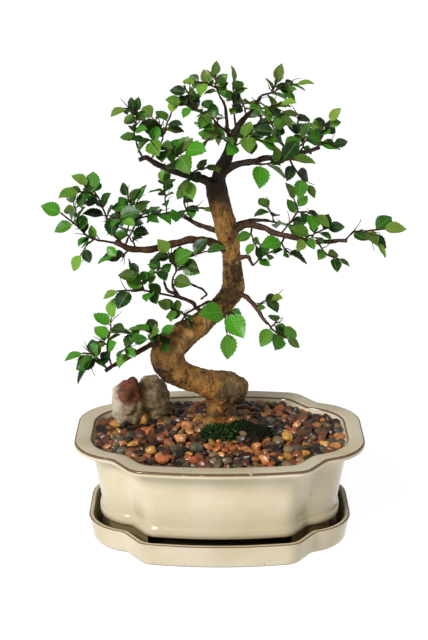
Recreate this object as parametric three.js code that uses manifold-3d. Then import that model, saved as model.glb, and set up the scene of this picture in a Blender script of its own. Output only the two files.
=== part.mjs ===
// Chinese elm bonsai in a lobed ceramic pot that stands in its drip tray.
// Millimetres, +Z up. The origin is the centre of the tray's flat underside, +X is to the
// right along the pot's long side and the viewer stands on the -Y side.

import * as THREE from "three";
import { mergeVertices } from "three/addons/utils/BufferGeometryUtils.js";
import Module from "manifold-3d";

const wasm = await Module();
wasm.setup();

// Clearance left between pieces that touch.
const GAP = 0.3;

// Lobed outline that the pot and the tray share, as drawn at the pot's rim.
const RIM_HALF_LENGTH = 102.5;
const RIM_HALF_DEPTH = 75;
const RIM_BOW = 4;
const BOW_SHARE = 0.4;
const END_LOBE_CORNER = 36;
const END_LOBE_TURN = 72;
const NOTCH_RADIUS = 12;
const NOTCH_TURN = 35;
const LONG_LOBE_CORNER = 16;
const LONG_LOBE_FLAT = 50;
const ARC_STEPS = 3;
const NOTCH_STEPS = 1;

// Heights of the pot and the tray.
const RIM_TOP = 73.8;
const FLANGE_WIDTH = 12;
const POT_UNDERSIDE = 19;
const POT_FLOOR_TOP = 25;
const TRAY_FLOOR_TOP = 4.2;
const TRAY_RIM_TOP = 17.3;
const TRAY_HALF_LENGTH = 93.5;
const TRAY_HALF_DEPTH = 70.3;

// Drainage holes in the pot's floor and the plastic screens that lie over them.
const DRAIN_X = 42;
const DRAIN_RADIUS = 8;
const SCREEN_SIDE = 24;
const SCREEN_THICKNESS = 1.2;
const SCREEN_OPENING = 8;
const SCREEN_PITCH = 10;

// Soil, gravel and what lies on it.
const SOIL_TOP = 64;
const PEBBLE_STEP = 10;
const PEBBLE_COLUMNS = 30;
const PEBBLE_ROWS = 17;
const PEBBLE_SHIFT = 0.2;
const PEBBLE_RISE = 4;
const DIP_DEPTH = 3;
const ROCK_LUMPS = [
  { centre: [-66, 24, 83], halfSizes: [13, 11, 20] },
  { centre: [-49, 35, 83], halfSizes: [14, 12, 20] },
];
const MOSS_PATCHES = [
  { centre: [-1, -8, 71], halfSizes: [14, 12, 9] },
  { centre: [15, 1, 71], halfSizes: [12, 10, 8.5] },
  { centre: [27, -5, 70], halfSizes: [12, 11, 7.5] },
];

// Leaf blade: outline as [share of length, share of half width], root first.
const LEAF_OUTLINE = [
  [0, 0],
  [0.33, 1],
  [0.46, 0.78],
  [0.63, 0.84],
  [1, 0],
  [0.6, -0.86],
  [0.42, -0.78],
  [0.3, -1],
];
const LEAF_WIDTH_SHARE = 0.35;
const LEAF_SCALE = 1.15;
const LEAF_BEND = 0.14;
const LEAF_FOLD = 0.14;
const LEAF_MIDDLE = 0.45;
const LEAF_THICKNESS = 1.2;
const END_LEAF_SINK = 1.2;
const LEAF_CLEARANCE = 0.75;
const LEAF_TRIES = 3;

// Stem and shoot radii at the root and at the tip.
const STEM_RADII = [1.1, 0.8];
const SHOOT_RADII = [0.9, 0.7];
const TREE_AXIS = [0, 5];

// Limbs up to this radius are plain tubes, thicker ones have knots.
const SMOOTH_RADIUS = 4;

// Limbs of the tree: route and radii. The first three make the buried base, the cut stump
// and the trunk with its knee and elbow.
const LIMBS = {
  base: {
    sides: 8,
    steps: 5,
    route: [[0, 19, 50], [0, 19, 63], [0, 19, 73], [0, 18, 82], [1, 16, 91], [3, 14, 100]],
    radii: [7, 9.5, 10.5, 10, 10.5, 9.5],
  },
  stump: {
    sides: 9,
    steps: 3,
    route: [[-12, 8, 107], [0, 12, 101], [8, 15, 99], [17, 18, 97]],
    radii: [8.6, 10.6, 12, 9],
  },
  trunk: {
    sides: 8,
    steps: 22,
    route: [
      [4, 13, 96], [-4, 11, 102], [-14, 7, 108], [-27, 2, 115], [-35, -1, 124], [-36, -2, 135],
      [-28.4, -1, 142.4], [-19.3, 2, 149.2], [-7.5, 6, 157.4], [4, 9, 167], [9, 11, 176], [9, 12, 189],
      [8, 12, 203], [5, 11, 218], [1, 9, 233], [-2, 6, 248], [-3, 5, 256],
    ],
    radii: [11.5, 9.8, 9.5, 10, 11.5, 12, 10.7, 9.1, 7.5, 7.5, 8, 7.2, 6.5, 8.3, 7.2, 7.8, 7.2],
  },
  root_left: {
    sides: 5,
    steps: 3,
    route: [[-4, 18, 75], [-14, 15, 72], [-24, 11, 68], [-32, 7, 61]],
    radii: [5.5, 4, 3, 2],
  },
  root_front: {
    sides: 5,
    steps: 3,
    route: [[-3, 15, 75], [-11, 6, 72], [-19, -3, 68], [-26, -11, 61]],
    radii: [5.5, 3.8, 2.8, 2],
  },
  root_right: {
    sides: 5,
    steps: 3,
    route: [[4, 18, 75], [14, 14, 72], [25, 10, 67], [34, 6, 61]],
    radii: [5.5, 4, 3, 2],
  },
  root_back: {
    sides: 5,
    steps: 3,
    route: [[1, 22, 75], [3, 31, 72], [6, 40, 67], [8, 46, 61]],
    radii: [5.5, 4, 3, 2],
  },
  leader: {
    sides: 5,
    steps: 6,
    route: [
      [-3, 5, 248], [1, 3, 263], [5, 2, 272], [8, 3, 282], [11, 6, 289], [16, 10, 296],
      [23, 14, 303], [28, 17, 311],
    ],
    radii: [5, 5, 4.2, 3.4, 2.8, 2.2, 1.7, 1.2],
  },
  apex_stem: {
    sides: 4,
    steps: 3,
    route: [[8, 3, 282], [5, 2, 290], [4, -1, 302], [2, -3, 311]],
    radii: [1.6, 1.3, 1.1, 0.9],
  },
  top_left: {
    sides: 4,
    steps: 6,
    route: [
      [-2, 4, 250], [-11, -1, 257], [-20, -8, 261], [-33, -16, 267], [-42, -21, 272],
      [-49, -24, 277], [-53, -26, 276],
    ],
    radii: [3.4, 3, 2.6, 2.2, 1.9, 1.7, 1.4],
  },
  top_right: {
    sides: 4,
    steps: 6,
    route: [
      [-1, 4, 258], [9, -4, 267], [19, -11, 271], [29, -17, 275], [42, -19, 277],
      [54, -18, 279], [66, -15, 282],
    ],
    radii: [3, 2.5, 2.2, 2, 1.8, 1.6, 1.3],
  },
  back_right_top: {
    sides: 4,
    steps: 3,
    route: [[10, 5, 288], [24, 20, 289], [36, 30, 290], [50, 38, 287]],
    radii: [1.8, 1.5, 1.3, 1],
  },
  mid_left: {
    sides: 5,
    steps: 6,
    route: [
      [5, 11, 205], [-6, 2, 212], [-12, -4, 215], [-20, -9, 217], [-33, -14, 215],
      [-48, -17, 212], [-61, -18, 213], [-71, -19, 218],
    ],
    radii: [3.4, 3, 2.8, 2.6, 2.5, 2.3, 2.1, 1.7],
  },
  upper_left: {
    sides: 4,
    steps: 3,
    route: [[4, 11, 215], [-7, 20, 217], [-15, 27, 218], [-25, 34, 222], [-34, 40, 225]],
    radii: [2.2, 1.9, 1.7, 1.4, 1.1],
  },
  lower_left: {
    sides: 4,
    steps: 5,
    route: [
      [-10, 5, 156], [-15, -2, 165], [-18, -5, 170], [-28, -9, 176], [-35, -12, 181],
      [-38, -14, 188],
    ],
    radii: [1.8, 1.5, 1.4, 1.3, 1.1, 0.9],
  },
  curled_twig: {
    sides: 3,
    steps: 6,
    route: [
      [-28, -9, 176], [-32, -10, 184], [-29, -12, 189], [-25, -12, 189], [-18, -11, 185],
      [-12, -10, 182], [-9, -9, 178], [-13, -8, 174],
    ],
    radii: [1, 0.9, 0.9, 0.8, 0.8, 0.8, 0.7, 0.7],
  },
  hanging_twig: {
    sides: 3,
    steps: 3,
    route: [[-2, 8, 163], [-8, -1, 170], [-17, -3, 166], [-23, -5, 163], [-27, -6, 157]],
    radii: [1.1, 1, 0.9, 0.8, 0.7],
  },
  low_left: {
    sides: 4,
    steps: 4,
    route: [[-34, -2, 139], [-46, -9, 142], [-56, -14, 138], [-69, -20, 132], [-79, -24, 127]],
    radii: [2.4, 2, 1.8, 1.6, 1.3],
  },
  right: {
    sides: 5,
    steps: 6,
    route: [
      [5, 11, 217], [14, 8, 221], [19, 5, 224], [26, 0, 224], [36, -5, 221], [48, -9, 219],
      [63, -12, 216], [76, -14, 217], [86, -16, 218],
    ],
    radii: [3, 2.5, 2.3, 2.2, 2, 1.9, 1.7, 1.5, 1.2],
  },
  right_stub: {
    sides: 4,
    steps: 2,
    route: [[8, 12, 199], [15, 6, 200], [20, 3, 201], [23, 0, 196]],
    radii: [2.2, 1.7, 1.4, 1],
  },
  right_low: {
    sides: 5,
    steps: 4,
    route: [[8, 11, 173], [14, 6, 173], [19, 3, 172], [24, -2, 168], [28, -6, 163], [33, -10, 157]],
    radii: [2.4, 2, 1.8, 1.6, 1.4, 1.1],
  },
  back_right: {
    sides: 4,
    steps: 3,
    route: [[6, 12, 217], [13, 28, 218], [23, 42, 217], [35, 54, 214]],
    radii: [2.4, 1.9, 1.6, 1.1],
  },
};

// Leafy sprays: typical leaf length, route of the stem from the limb that it grows on, how many
// leaves it carries, and side shoots as [where along the stem, tip, leaves].
const SPRAYS = {
  top_left_tip: {
    leaf: 9,
    route: [[-51, -25, 278], [-54, -26, 284], [-56, -27, 293], [-55, -27, 302], [-54, -28, 309]],
    leaves: 6,
    shoots: [[0.95, [-62, -32, 311], 2]],
  },
  top_left_outer: {
    leaf: 12,
    route: [[-46, -22, 276], [-39, -25, 286], [-36, -22, 296], [-32, -19, 306]],
    leaves: 4,
    shoots: [[0.3, [-49, -34, 291], 3], [0.55, [-45, -14, 302], 3]],
  },
  top_left_big: {
    leaf: 14,
    route: [[-35, -14, 268], [-30, -24, 277], [-22, -32, 284]],
    leaves: 4,
    shoots: [[0.4, [-38, -32, 286], 3]],
  },
  top_left_inner: {
    leaf: 10,
    route: [[-22, -7, 261], [-15, -16, 267], [-8, -22, 270]],
    leaves: 4,
    shoots: [[0.3, [-24, -14, 255], 3]],
  },
  apex: {
    leaf: 9,
    route: [[2, -3, 310], [-1, -5, 316], [-3, -6, 322], [-3, -7, 329]],
    leaves: 6,
    shoots: [[0.55, [-17, -12, 325], 4]],
  },
  crown_right: {
    leaf: 9,
    route: [[11, 6, 289], [9, 7, 302], [9, 5, 311], [9, 4, 322]],
    leaves: 6,
    shoots: [],
  },
  crown_left: {
    leaf: 11,
    route: [[7, 2, 286], [-5, -8, 300], [-15, -16, 307], [-26, -20, 313]],
    leaves: 5,
    shoots: [[0.72, [-24, -14, 323], 3]],
  },
  crown_front: {
    leaf: 13,
    route: [[8, 1, 279], [1, -14, 289], [-5, -26, 300]],
    leaves: 3,
    shoots: [[0.5, [-11, -24, 287], 3]],
  },
  crown_low: {
    leaf: 12,
    route: [[7, 2, 275], [15, -14, 286], [21, -24, 295]],
    leaves: 4,
    shoots: [[0.6, [28, -22, 287], 2]],
  },
  leader_tip: {
    leaf: 11,
    route: [[28, 17, 310], [35, 16, 313], [38, 14, 322]],
    leaves: 4,
    shoots: [[0.5, [52, 10, 320], 4]],
  },
  leader_right: {
    leaf: 11,
    route: [[22, 13, 302], [31, 2, 305], [41, -6, 310]],
    leaves: 5,
    shoots: [[0.6, [41, -8, 302], 3]],
  },
  leader_back: {
    leaf: 11,
    route: [[18, 12, 298], [16, 34, 302], [14, 54, 306]],
    leaves: 5,
    shoots: [[0.5, [29, 48, 300], 3]],
  },
  leader_back_left: {
    leaf: 11,
    route: [[10, 5, 288], [0, 28, 287], [-13, 50, 287]],
    leaves: 4,
    shoots: [[0.5, [-6, 40, 298], 3]],
  },
  top_right_front: {
    leaf: 14,
    route: [[17, -9, 270], [28, -22, 272], [37, -30, 275], [46, -34, 278]],
    leaves: 5,
    shoots: [],
  },
  top_right_droop: {
    leaf: 11,
    route: [[45, -19, 278], [50, -22, 268], [58, -24, 258]],
    leaves: 4,
    shoots: [],
  },
  top_right_mid: {
    leaf: 11,
    route: [[40, -18, 276], [42, -20, 284], [37, -20, 292], [33, -16, 299]],
    leaves: 6,
    shoots: [],
  },
  top_right_tip: {
    leaf: 11,
    route: [[64, -15, 282], [67, -18, 289], [72, -20, 301]],
    leaves: 5,
    shoots: [[0.3, [79, -22, 282], 3]],
  },
  top_right_out: {
    leaf: 10,
    route: [[54, -18, 279], [56, -8, 283], [62, -2, 290]],
    leaves: 4,
    shoots: [[0.4, [54, 2, 290], 3]],
  },
  back_right_tip: {
    leaf: 11,
    route: [[49, 38, 287], [58, 46, 284], [67, 54, 280]],
    leaves: 5,
    shoots: [[0.3, [55, 52, 292], 3]],
  },
  back_right_mid: {
    leaf: 11,
    route: [[26, 22, 290], [29, 42, 292], [33, 62, 293]],
    leaves: 5,
    shoots: [],
  },
  mid_left_up: {
    leaf: 12,
    route: [[-65, -18, 215], [-73, -21, 226], [-77, -20, 238], [-81, -20, 249], [-88, -20, 258]],
    leaves: 5,
    shoots: [[0.42, [-63, -38, 238], 3], [0.75, [-94, -28, 255], 3]],
  },
  mid_left_tip: {
    leaf: 11,
    route: [[-70, -19, 217], [-82, -22, 220], [-89, -23, 223], [-95, -24, 230], [-106, -26, 240]],
    leaves: 5,
    shoots: [[0.35, [-94, -24, 210], 3], [0.72, [-98, -18, 245], 3]],
  },
  mid_left_right: {
    leaf: 11,
    route: [[-65, -18, 214], [-60, -26, 225], [-55, -24, 235], [-46, -14, 236], [-35, -6, 234]],
    leaves: 5,
    shoots: [[0.45, [-62, -18, 250], 4]],
  },
  mid_left_back: {
    leaf: 11,
    route: [[-56, -16, 212], [-61, 4, 213], [-67, 24, 215], [-77, 42, 216]],
    leaves: 4,
    shoots: [[0.55, [-57, 22, 237], 4]],
  },
  mid_left_low: {
    leaf: 11,
    route: [[-61, -17, 213], [-65, -22, 209], [-73, -26, 209]],
    leaves: 4,
    shoots: [],
  },
  upper_left_tip: {
    leaf: 10,
    route: [[-33, 39, 224], [-43, 48, 220], [-53, 56, 221]],
    leaves: 4,
    shoots: [[0.25, [-40, 42, 247], 5]],
  },
  upper_left_mid: {
    leaf: 9,
    route: [[-19, 30, 219], [-24, 26, 230], [-26, 22, 243]],
    leaves: 4,
    shoots: [[0.42, [-11, 21, 231], 3]],
  },
  lower_left_long: {
    leaf: 12,
    route: [[-26, -8, 175], [-41, -17, 181], [-54, -24, 186], [-70, -28, 186]],
    leaves: 5,
    shoots: [[0.6, [-58, -28, 202], 4]],
  },
  lower_left_up: {
    leaf: 13,
    route: [[-30, -10, 178], [-33, -14, 188], [-29, -18, 200], [-20, -22, 209], [-9, -28, 214]],
    leaves: 5,
    shoots: [[0.45, [-35, -22, 212], 3]],
  },
  lower_left_twig: {
    leaf: 10,
    route: [[-38, -14, 188], [-40, -16, 199], [-45, -24, 197]],
    leaves: 4,
    shoots: [],
  },
  low_left_tip: {
    leaf: 12,
    route: [[-78, -24, 128], [-82, -28, 136], [-87, -30, 142], [-94, -32, 143]],
    leaves: 5,
    shoots: [[0.4, [-90, -34, 134], 2]],
  },
  low_left_up: {
    leaf: 12,
    route: [[-75, -22, 129], [-78, -24, 144], [-75, -24, 156], [-74, -25, 166]],
    leaves: 4,
    shoots: [[0.4, [-85, -20, 147], 3]],
  },
  low_left_mid: {
    leaf: 10,
    route: [[-62, -17, 134], [-65, -27, 144], [-58, -32, 152]],
    leaves: 5,
    shoots: [],
  },
  knee: {
    leaf: 11,
    route: [[-35, -4, 144], [-41, -16, 150], [-51, -22, 156]],
    leaves: 5,
    shoots: [],
  },
  elbow: {
    leaf: 9,
    route: [[-20, 1, 154], [-26, -10, 165], [-34, -14, 170]],
    leaves: 5,
    shoots: [],
  },
  right_tip: {
    leaf: 12,
    route: [[85, -16, 218], [90, -18, 225], [99, -20, 226], [110, -22, 228]],
    leaves: 5,
    shoots: [[0.5, [105, -26, 219], 3]],
  },
  right_mid: {
    leaf: 11,
    route: [[61, -12, 216], [64, -12, 222], [73, -12, 226]],
    leaves: 5,
    shoots: [[0.4, [56, -26, 221], 3]],
  },
  right_up: {
    leaf: 10,
    route: [[41, -7, 220], [49, -10, 231], [53, -11, 238], [50, -12, 246]],
    leaves: 4,
    shoots: [[0.6, [64, -18, 236], 4]],
  },
  right_hang: {
    leaf: 13,
    route: [[43, -8, 219], [42, -18, 215], [48, -24, 210]],
    leaves: 5,
    shoots: [],
  },
  right_low: {
    leaf: 10,
    route: [[65, -12, 216], [72, -18, 209], [81, -20, 206]],
    leaves: 4,
    shoots: [],
  },
  right_inner: {
    leaf: 9,
    route: [[21, 4, 223], [22, -4, 217], [25, -8, 211]],
    leaves: 4,
    shoots: [],
  },
  back_right: {
    leaf: 11,
    route: [[33, 52, 215], [44, 62, 210], [54, 70, 206]],
    leaves: 4,
    shoots: [[0.3, [35, 64, 221], 3]],
  },
  right_low_tip: {
    leaf: 12,
    route: [[32, -9, 158], [38, -13, 152], [47, -16, 148]],
    leaves: 5,
    shoots: [[0.3, [42, -4, 156], 3]],
  },
  right_low_up: {
    leaf: 10,
    route: [[25, -3, 167], [30, -10, 173], [36, -14, 177]],
    leaves: 4,
    shoots: [],
  },
  front: {
    leaf: 17,
    route: [[1, 4, 167], [3, -14, 166], [4, -19, 161], [5, -22, 154]],
    leaves: 4,
    shoots: [[0.35, [12, -20, 166], 2]],
  },
  stub: {
    leaf: 9,
    route: [[22, 0, 196], [29, -5, 204], [36, -9, 209]],
    leaves: 4,
    shoots: [],
  },
};

const GLAZE = { color: 0xe6dcc0, roughness: 0.2, metalness: 0 };
const BARK = { color: 0x8a6544, roughness: 0.85, metalness: 0 };
const LEAF = { color: 0x4f8a33, roughness: 0.5, metalness: 0 };
const GRAVEL = { color: 0x8a5a3a, roughness: 0.5, metalness: 0 };
const SOIL = { color: 0x3a2a1e, roughness: 1, metalness: 0 };
const STONE = { color: 0x9a8468, roughness: 0.85, metalness: 0 };
const MOSS = { color: 0x3f5f24, roughness: 1, metalness: 0 };
const PLASTIC = { color: 0x2a2a2a, roughness: 0.6, metalness: 0 };

// Solids.

function solidOf(geometry) {
  geometry.deleteAttribute("normal");
  geometry.deleteAttribute("uv");
  const welded = mergeVertices(geometry, 1e-4);
  const index = Array.from(welded.index.array);
  const kept = [];
  for (let i = 0; i < index.length; i += 3) {
    const [a, b, c] = index.slice(i, i + 3);
    if (a !== b && b !== c && c !== a) {
      kept.push(a, b, c);
    }
  }
  const solid = new wasm.Manifold(
    new wasm.Mesh({
      numProp: 3,
      vertProperties: new Float32Array(welded.attributes.position.array),
      triVerts: new Uint32Array(kept),
    }),
  );
  return solid;
}

function meshOf(name, solid, look) {
  const faces = solid.getMesh();
  const geometry = new THREE.BufferGeometry();
  geometry.setAttribute("position", new THREE.BufferAttribute(faces.vertProperties, 3));
  geometry.setIndex(new THREE.BufferAttribute(faces.triVerts, 1));
  geometry.computeVertexNormals();
  const mesh = new THREE.Mesh(geometry, new THREE.MeshStandardMaterial(look));
  mesh.name = name;
  return mesh;
}

function union(solids) {
  return wasm.Manifold.union(solids);
}

function largestBody(solid) {
  const bodies = solid.decompose();
  bodies.sort((a, b) => b.volume() - a.volume());
  return bodies[0];
}

function box(sizes, centre) {
  const geometry = new THREE.BoxGeometry(...sizes);
  geometry.translate(...centre);
  return solidOf(geometry);
}

// Vectors as plain lists.

function plus(a, b, share = 1) {
  return [a[0] + b[0] * share, a[1] + b[1] * share, a[2] + b[2] * share];
}

function minus(a, b) {
  return plus(a, b, -1);
}

function dot(a, b) {
  return a[0] * b[0] + a[1] * b[1] + a[2] * b[2];
}

function cross(a, b) {
  return [
    a[1] * b[2] - a[2] * b[1],
    a[2] * b[0] - a[0] * b[2],
    a[0] * b[1] - a[1] * b[0],
  ];
}

function size(a) {
  return Math.sqrt(dot(a, a));
}

function unit(a) {
  const length = size(a);
  return [a[0] / length, a[1] / length, a[2] / length];
}

// Seeded draws between -1 and 1.
function dice(seed) {
  let state = seed >>> 0;
  const draw = () => {
    state = (Math.imul(state, 1664525) + 1013904223) >>> 0;
    return (state / 4294967296) * 2 - 1;
  };
  draw();
  draw();
  return draw;
}

// Lobed outline, a long lobe in front and behind and an end lobe left and right. The end
// lobe's corner turns into a hollow notch, whose straight slope runs on into the long lobe's
// corner. Returned as the corners of one closed line, counter-clockwise.
function lobedOutline() {
  const endTurn = THREE.MathUtils.degToRad(END_LOBE_TURN);
  const notchTurn = THREE.MathUtils.degToRad(NOTCH_TURN);
  const endX = RIM_HALF_LENGTH - END_LOBE_CORNER;
  const longY = RIM_HALF_DEPTH - LONG_LOBE_CORNER;
  const endReach = END_LOBE_CORNER + NOTCH_RADIUS;
  const longReach = LONG_LOBE_CORNER + NOTCH_RADIUS;
  const notchX = endX + endReach * Math.cos(endTurn);
  const slopeRun = notchX - LONG_LOBE_FLAT - longReach * Math.cos(notchTurn);
  const notchY = longY + longReach * Math.sin(notchTurn) - slopeRun / Math.tan(notchTurn);
  const endY = notchY - endReach * Math.sin(endTurn);
  const quarter = new THREE.Path();
  quarter.moveTo(RIM_HALF_LENGTH, 0);
  quarter.absarc(endX, endY, END_LOBE_CORNER, 0, endTurn, false);
  quarter.absarc(notchX, notchY, NOTCH_RADIUS, Math.PI + endTurn, Math.PI + notchTurn, true);
  quarter.absarc(LONG_LOBE_FLAT, longY, LONG_LOBE_CORNER, notchTurn, Math.PI / 2, false);
  const points = quarterPoints(quarter);
  const bow = RIM_BOW * (1 - BOW_SHARE * BOW_SHARE);
  points.push([LONG_LOBE_FLAT * BOW_SHARE, RIM_HALF_DEPTH + bow]);
  const outline = [];
  const quarters = [[1, 1, false], [-1, 1, true], [-1, -1, false], [1, -1, true]];
  for (const [signX, signY, reversed] of quarters) {
    const turned = points.map(([x, y]) => [signX * x, signY * y]);
    if (reversed) {
      turned.reverse();
    }
    outline.push(...turned);
  }
  return outline;
}

// Corners of a quarter of the outline, each arc cut into a few steps.
function quarterPoints(path) {
  const points = [];
  for (const piece of path.curves) {
    if (piece.isLineCurve) {
      continue;
    }
    const steps = piece.xRadius === NOTCH_RADIUS ? NOTCH_STEPS : ARC_STEPS;
    for (const point of piece.getPoints(steps)) {
      points.push([point.x, point.y]);
    }
  }
  return points;
}

// Ring-shaped body whose corners follow the lobed outline: profile rows are
// [inset along the length, inset along the depth, height], null insets for the middle.
function lobedBody(profile, halfLength = RIM_HALF_LENGTH, halfDepth = RIM_HALF_DEPTH) {
  const outline = lobedOutline();
  const rows = profile.map(([inset, , height]) => {
    const radius = inset === null ? 0 : halfLength - inset;
    return new THREE.Vector2(radius, height);
  });
  const geometry = new THREE.LatheGeometry(rows, outline.length);
  const position = geometry.attributes.position;
  for (let i = 0; i < position.count; i += 1) {
    const [x, y] = outline[Math.floor(i / profile.length) % outline.length];
    const [insetLong, insetDeep, height] = profile[i % profile.length];
    const middle = insetLong === null;
    const stretchX = middle ? 0 : (halfLength - insetLong) / RIM_HALF_LENGTH;
    const stretchY = middle ? 0 : (halfDepth - insetDeep) / RIM_HALF_DEPTH;
    position.setXYZ(i, x * stretchX, y * stretchY, height);
  }
  return solidOf(geometry);
}

// Pot.

const POT_PROFILE = [
  [null, null, POT_UNDERSIDE],
  [17.1, 12.4, POT_UNDERSIDE],
  [17.1, 12.4, POT_UNDERSIDE + 6.5],
  [18.4, 13.8, POT_UNDERSIDE + 7.8],
  [13.6, 11, 60],
  [10, 9, 68],
  [0.2, 0.2, RIM_TOP - 3],
  [0, 0, RIM_TOP - 0.6],
  [0.8, 0.8, RIM_TOP],
  [FLANGE_WIDTH, FLANGE_WIDTH, RIM_TOP],
  [18.6, 16, 60],
  [24, 20, POT_FLOOR_TOP],
  [null, null, POT_FLOOR_TOP],
];

function potFeet() {
  const height = POT_UNDERSIDE + 1 - TRAY_FLOOR_TOP - GAP;
  const low = TRAY_FLOOR_TOP + GAP;
  const ring = lobedBody([
    [19.5, 14.8, low + height],
    [30, 25, low + height],
    [30, 25, low],
    [20.5, 15.8, low],
    [19.5, 14.8, low + height],
  ]);
  const corners = [];
  for (const signX of [-1, 1]) {
    for (const signY of [-1, 1]) {
      corners.push(box([40, 34, 60], [signX * 70, signY * 47, POT_UNDERSIDE - 10]));
    }
  }
  return ring.intersect(union(corners));
}

function pot() {
  const holes = [];
  for (const side of [-1, 1]) {
    const drill = new THREE.CylinderGeometry(DRAIN_RADIUS, DRAIN_RADIUS, 20, 12);
    drill.rotateX(Math.PI / 2);
    drill.translate(side * DRAIN_X, 0, POT_FLOOR_TOP);
    holes.push(solidOf(drill));
  }
  return union([lobedBody(POT_PROFILE), potFeet()]).subtract(union(holes));
}

function dripTray() {
  return lobedBody(
    [
      [null, null, 0],
      [4.2, 4.2, 0],
      [2.8, 2.8, 1.4],
      [0, 0, TRAY_RIM_TOP - 0.6],
      [0.6, 0.6, TRAY_RIM_TOP],
      [3.4, 3.4, TRAY_RIM_TOP],
      [7.6, 7.6, TRAY_FLOOR_TOP],
      [null, null, TRAY_FLOOR_TOP],
    ],
    TRAY_HALF_LENGTH,
    TRAY_HALF_DEPTH,
  );
}

// Square plate with two by two openings, lying over a drainage hole.
function drainageScreen(side) {
  const height = POT_FLOOR_TOP + GAP + SCREEN_THICKNESS / 2;
  const x = side * DRAIN_X;
  const plate = box([SCREEN_SIDE, SCREEN_SIDE, SCREEN_THICKNESS], [x, 0, height]);
  const openings = [];
  for (const column of [-0.5, 0.5]) {
    for (const row of [-0.5, 0.5]) {
      const centre = [x + column * SCREEN_PITCH, row * SCREEN_PITCH, height];
      openings.push(box([SCREEN_OPENING, SCREEN_OPENING, 4], centre));
    }
  }
  return plate.subtract(union(openings));
}

// Curves and limbs.

function curveOf(route) {
  return new THREE.CatmullRomCurve3(route.map((point) => new THREE.Vector3(...point)));
}

// Point at a share of the way along the straight stretches between a route's points, each
// stretch counting alike.
function pointAt(route, share) {
  const reach = share * (route.length - 1);
  const i = Math.min(route.length - 2, Math.floor(reach));
  return plus(route[i], minus(route[i + 1], route[i]), reach - i);
}

function directionAt(route, share) {
  const step = 0.02;
  const from = Math.max(0, share - step);
  const to = Math.min(1, share + step);
  return unit(minus(pointAt(route, to), pointAt(route, from)));
}

// Radius at the same place of a limb.
function radiusAt(limb, share) {
  const reach = share * (limb.radii.length - 1);
  const i = Math.min(limb.radii.length - 2, Math.floor(reach));
  return limb.radii[i] + (limb.radii[i + 1] - limb.radii[i]) * (reach - i);
}

// Route with both ends carried on by a little, for the grown copies that cut the clearances.
function lengthened(route, extra) {
  const last = route.length - 1;
  const start = plus(route[0], unit(minus(route[0], route[1])), extra);
  const end = plus(route[last], unit(minus(route[last], route[last - 1])), extra);
  return [start, ...route.slice(1, last), end];
}

// Up, forward to the light and outward from the tree, the way that leaves face.
function facing(point) {
  const outward = unit([point[0] - TREE_AXIS[0] + 0.01, point[1] - TREE_AXIS[1], 0]);
  return plus([0, -0.4, 0.7], outward, 0.4);
}

// Cylinder whose ring vertices are set out again: place(ring, across, along) gives the point
// for a ring and for the two coordinates on its unit circle.
function bentCylinder(sides, steps, place) {
  const geometry = new THREE.CylinderGeometry(1, 1, 1, sides, steps);
  const position = geometry.attributes.position;
  for (let i = 0; i < position.count; i += 1) {
    const ring = Math.round((position.getY(i) + 0.5) * steps);
    const point = place(ring, position.getX(i), -position.getZ(i));
    position.setXYZ(i, ...point);
  }
  return solidOf(geometry);
}

// Woody limb bent along the curve through its route, with its radii plus what it is grown by.
// Knots and hollows of thick limbs are a ripple round and along them.
function limbSolid(limb, grown) {
  const route = grown > 0 ? lengthened(limb.route, grown) : limb.route;
  const curve = curveOf(route);
  const points = [];
  const tangents = [];
  for (let i = 0; i <= limb.steps; i += 1) {
    points.push(curve.getPoint(i / limb.steps).toArray());
    tangents.push(curve.getTangent(i / limb.steps).toArray());
  }
  const frames = squareFrames(tangents, Math.abs(tangents[0][2]) < 0.8 ? [0, 0, 1] : [0, -1, 0]);
  return bentCylinder(limb.sides, limb.steps, (ring, across, along) => {
    const share = ring / limb.steps;
    const turn = Math.atan2(along, across);
    const plain = radiusAt(limb, share);
    const ripple = plain > SMOOTH_RADIUS ? knots(turn, share) : 0;
    const radius = plain * (1 + ripple) + grown;
    const [sideways, upward] = frames[ring];
    return plus(plus(points[ring], sideways, across * radius), upward, along * radius);
  });
}

// Swelling of a thick limb round and along it.
function knots(turn, share) {
  return 0.07 * Math.sin(3 * turn + 11 * share) + 0.05 * Math.sin(5 * turn - 23 * share);
}

// Pairs of directions square to each tangent, the first level with what is upward there and
// each pair turned as little as possible from the one before it.
function squareFrames(tangents, upward) {
  let sideways = unit(cross(tangents[0], upward));
  return tangents.map((tangent) => {
    sideways = unit(plus(sideways, tangent, -dot(sideways, tangent)));
    return [sideways, cross(tangent, sideways)];
  });
}

// Green stem with three sides, straight between the points of its route, one corner above.
function stemSolid(stem) {
  const steps = stem.route.length - 1;
  const tangents = stem.route.map((_, i) => directionAt(stem.route, i / steps));
  const frames = squareFrames(tangents, facing(stem.route[0]));
  return bentCylinder(3, steps, (ring, across, along) => {
    const [sideways, upward] = frames[ring];
    const radius = radiusAt(stem, ring / steps);
    return plus(plus(stem.route[ring], sideways, -across * radius), upward, -along * radius);
  });
}

function tree(grown) {
  return union(Object.values(LIMBS).map((limb) => limbSolid(limb, grown)));
}

// Beads along every limb, [centre, radius], for keeping leaves clear of the wood.
function beadsOf(limb) {
  const beads = [];
  let length = 0;
  for (let i = 1; i < limb.route.length; i += 1) {
    length += size(minus(limb.route[i], limb.route[i - 1]));
  }
  const count = Math.ceil(length / 2);
  for (let i = 0; i <= count; i += 1) {
    beads.push([pointAt(limb.route, i / count), radiusAt(limb, i / count)]);
  }
  return beads;
}

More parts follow.
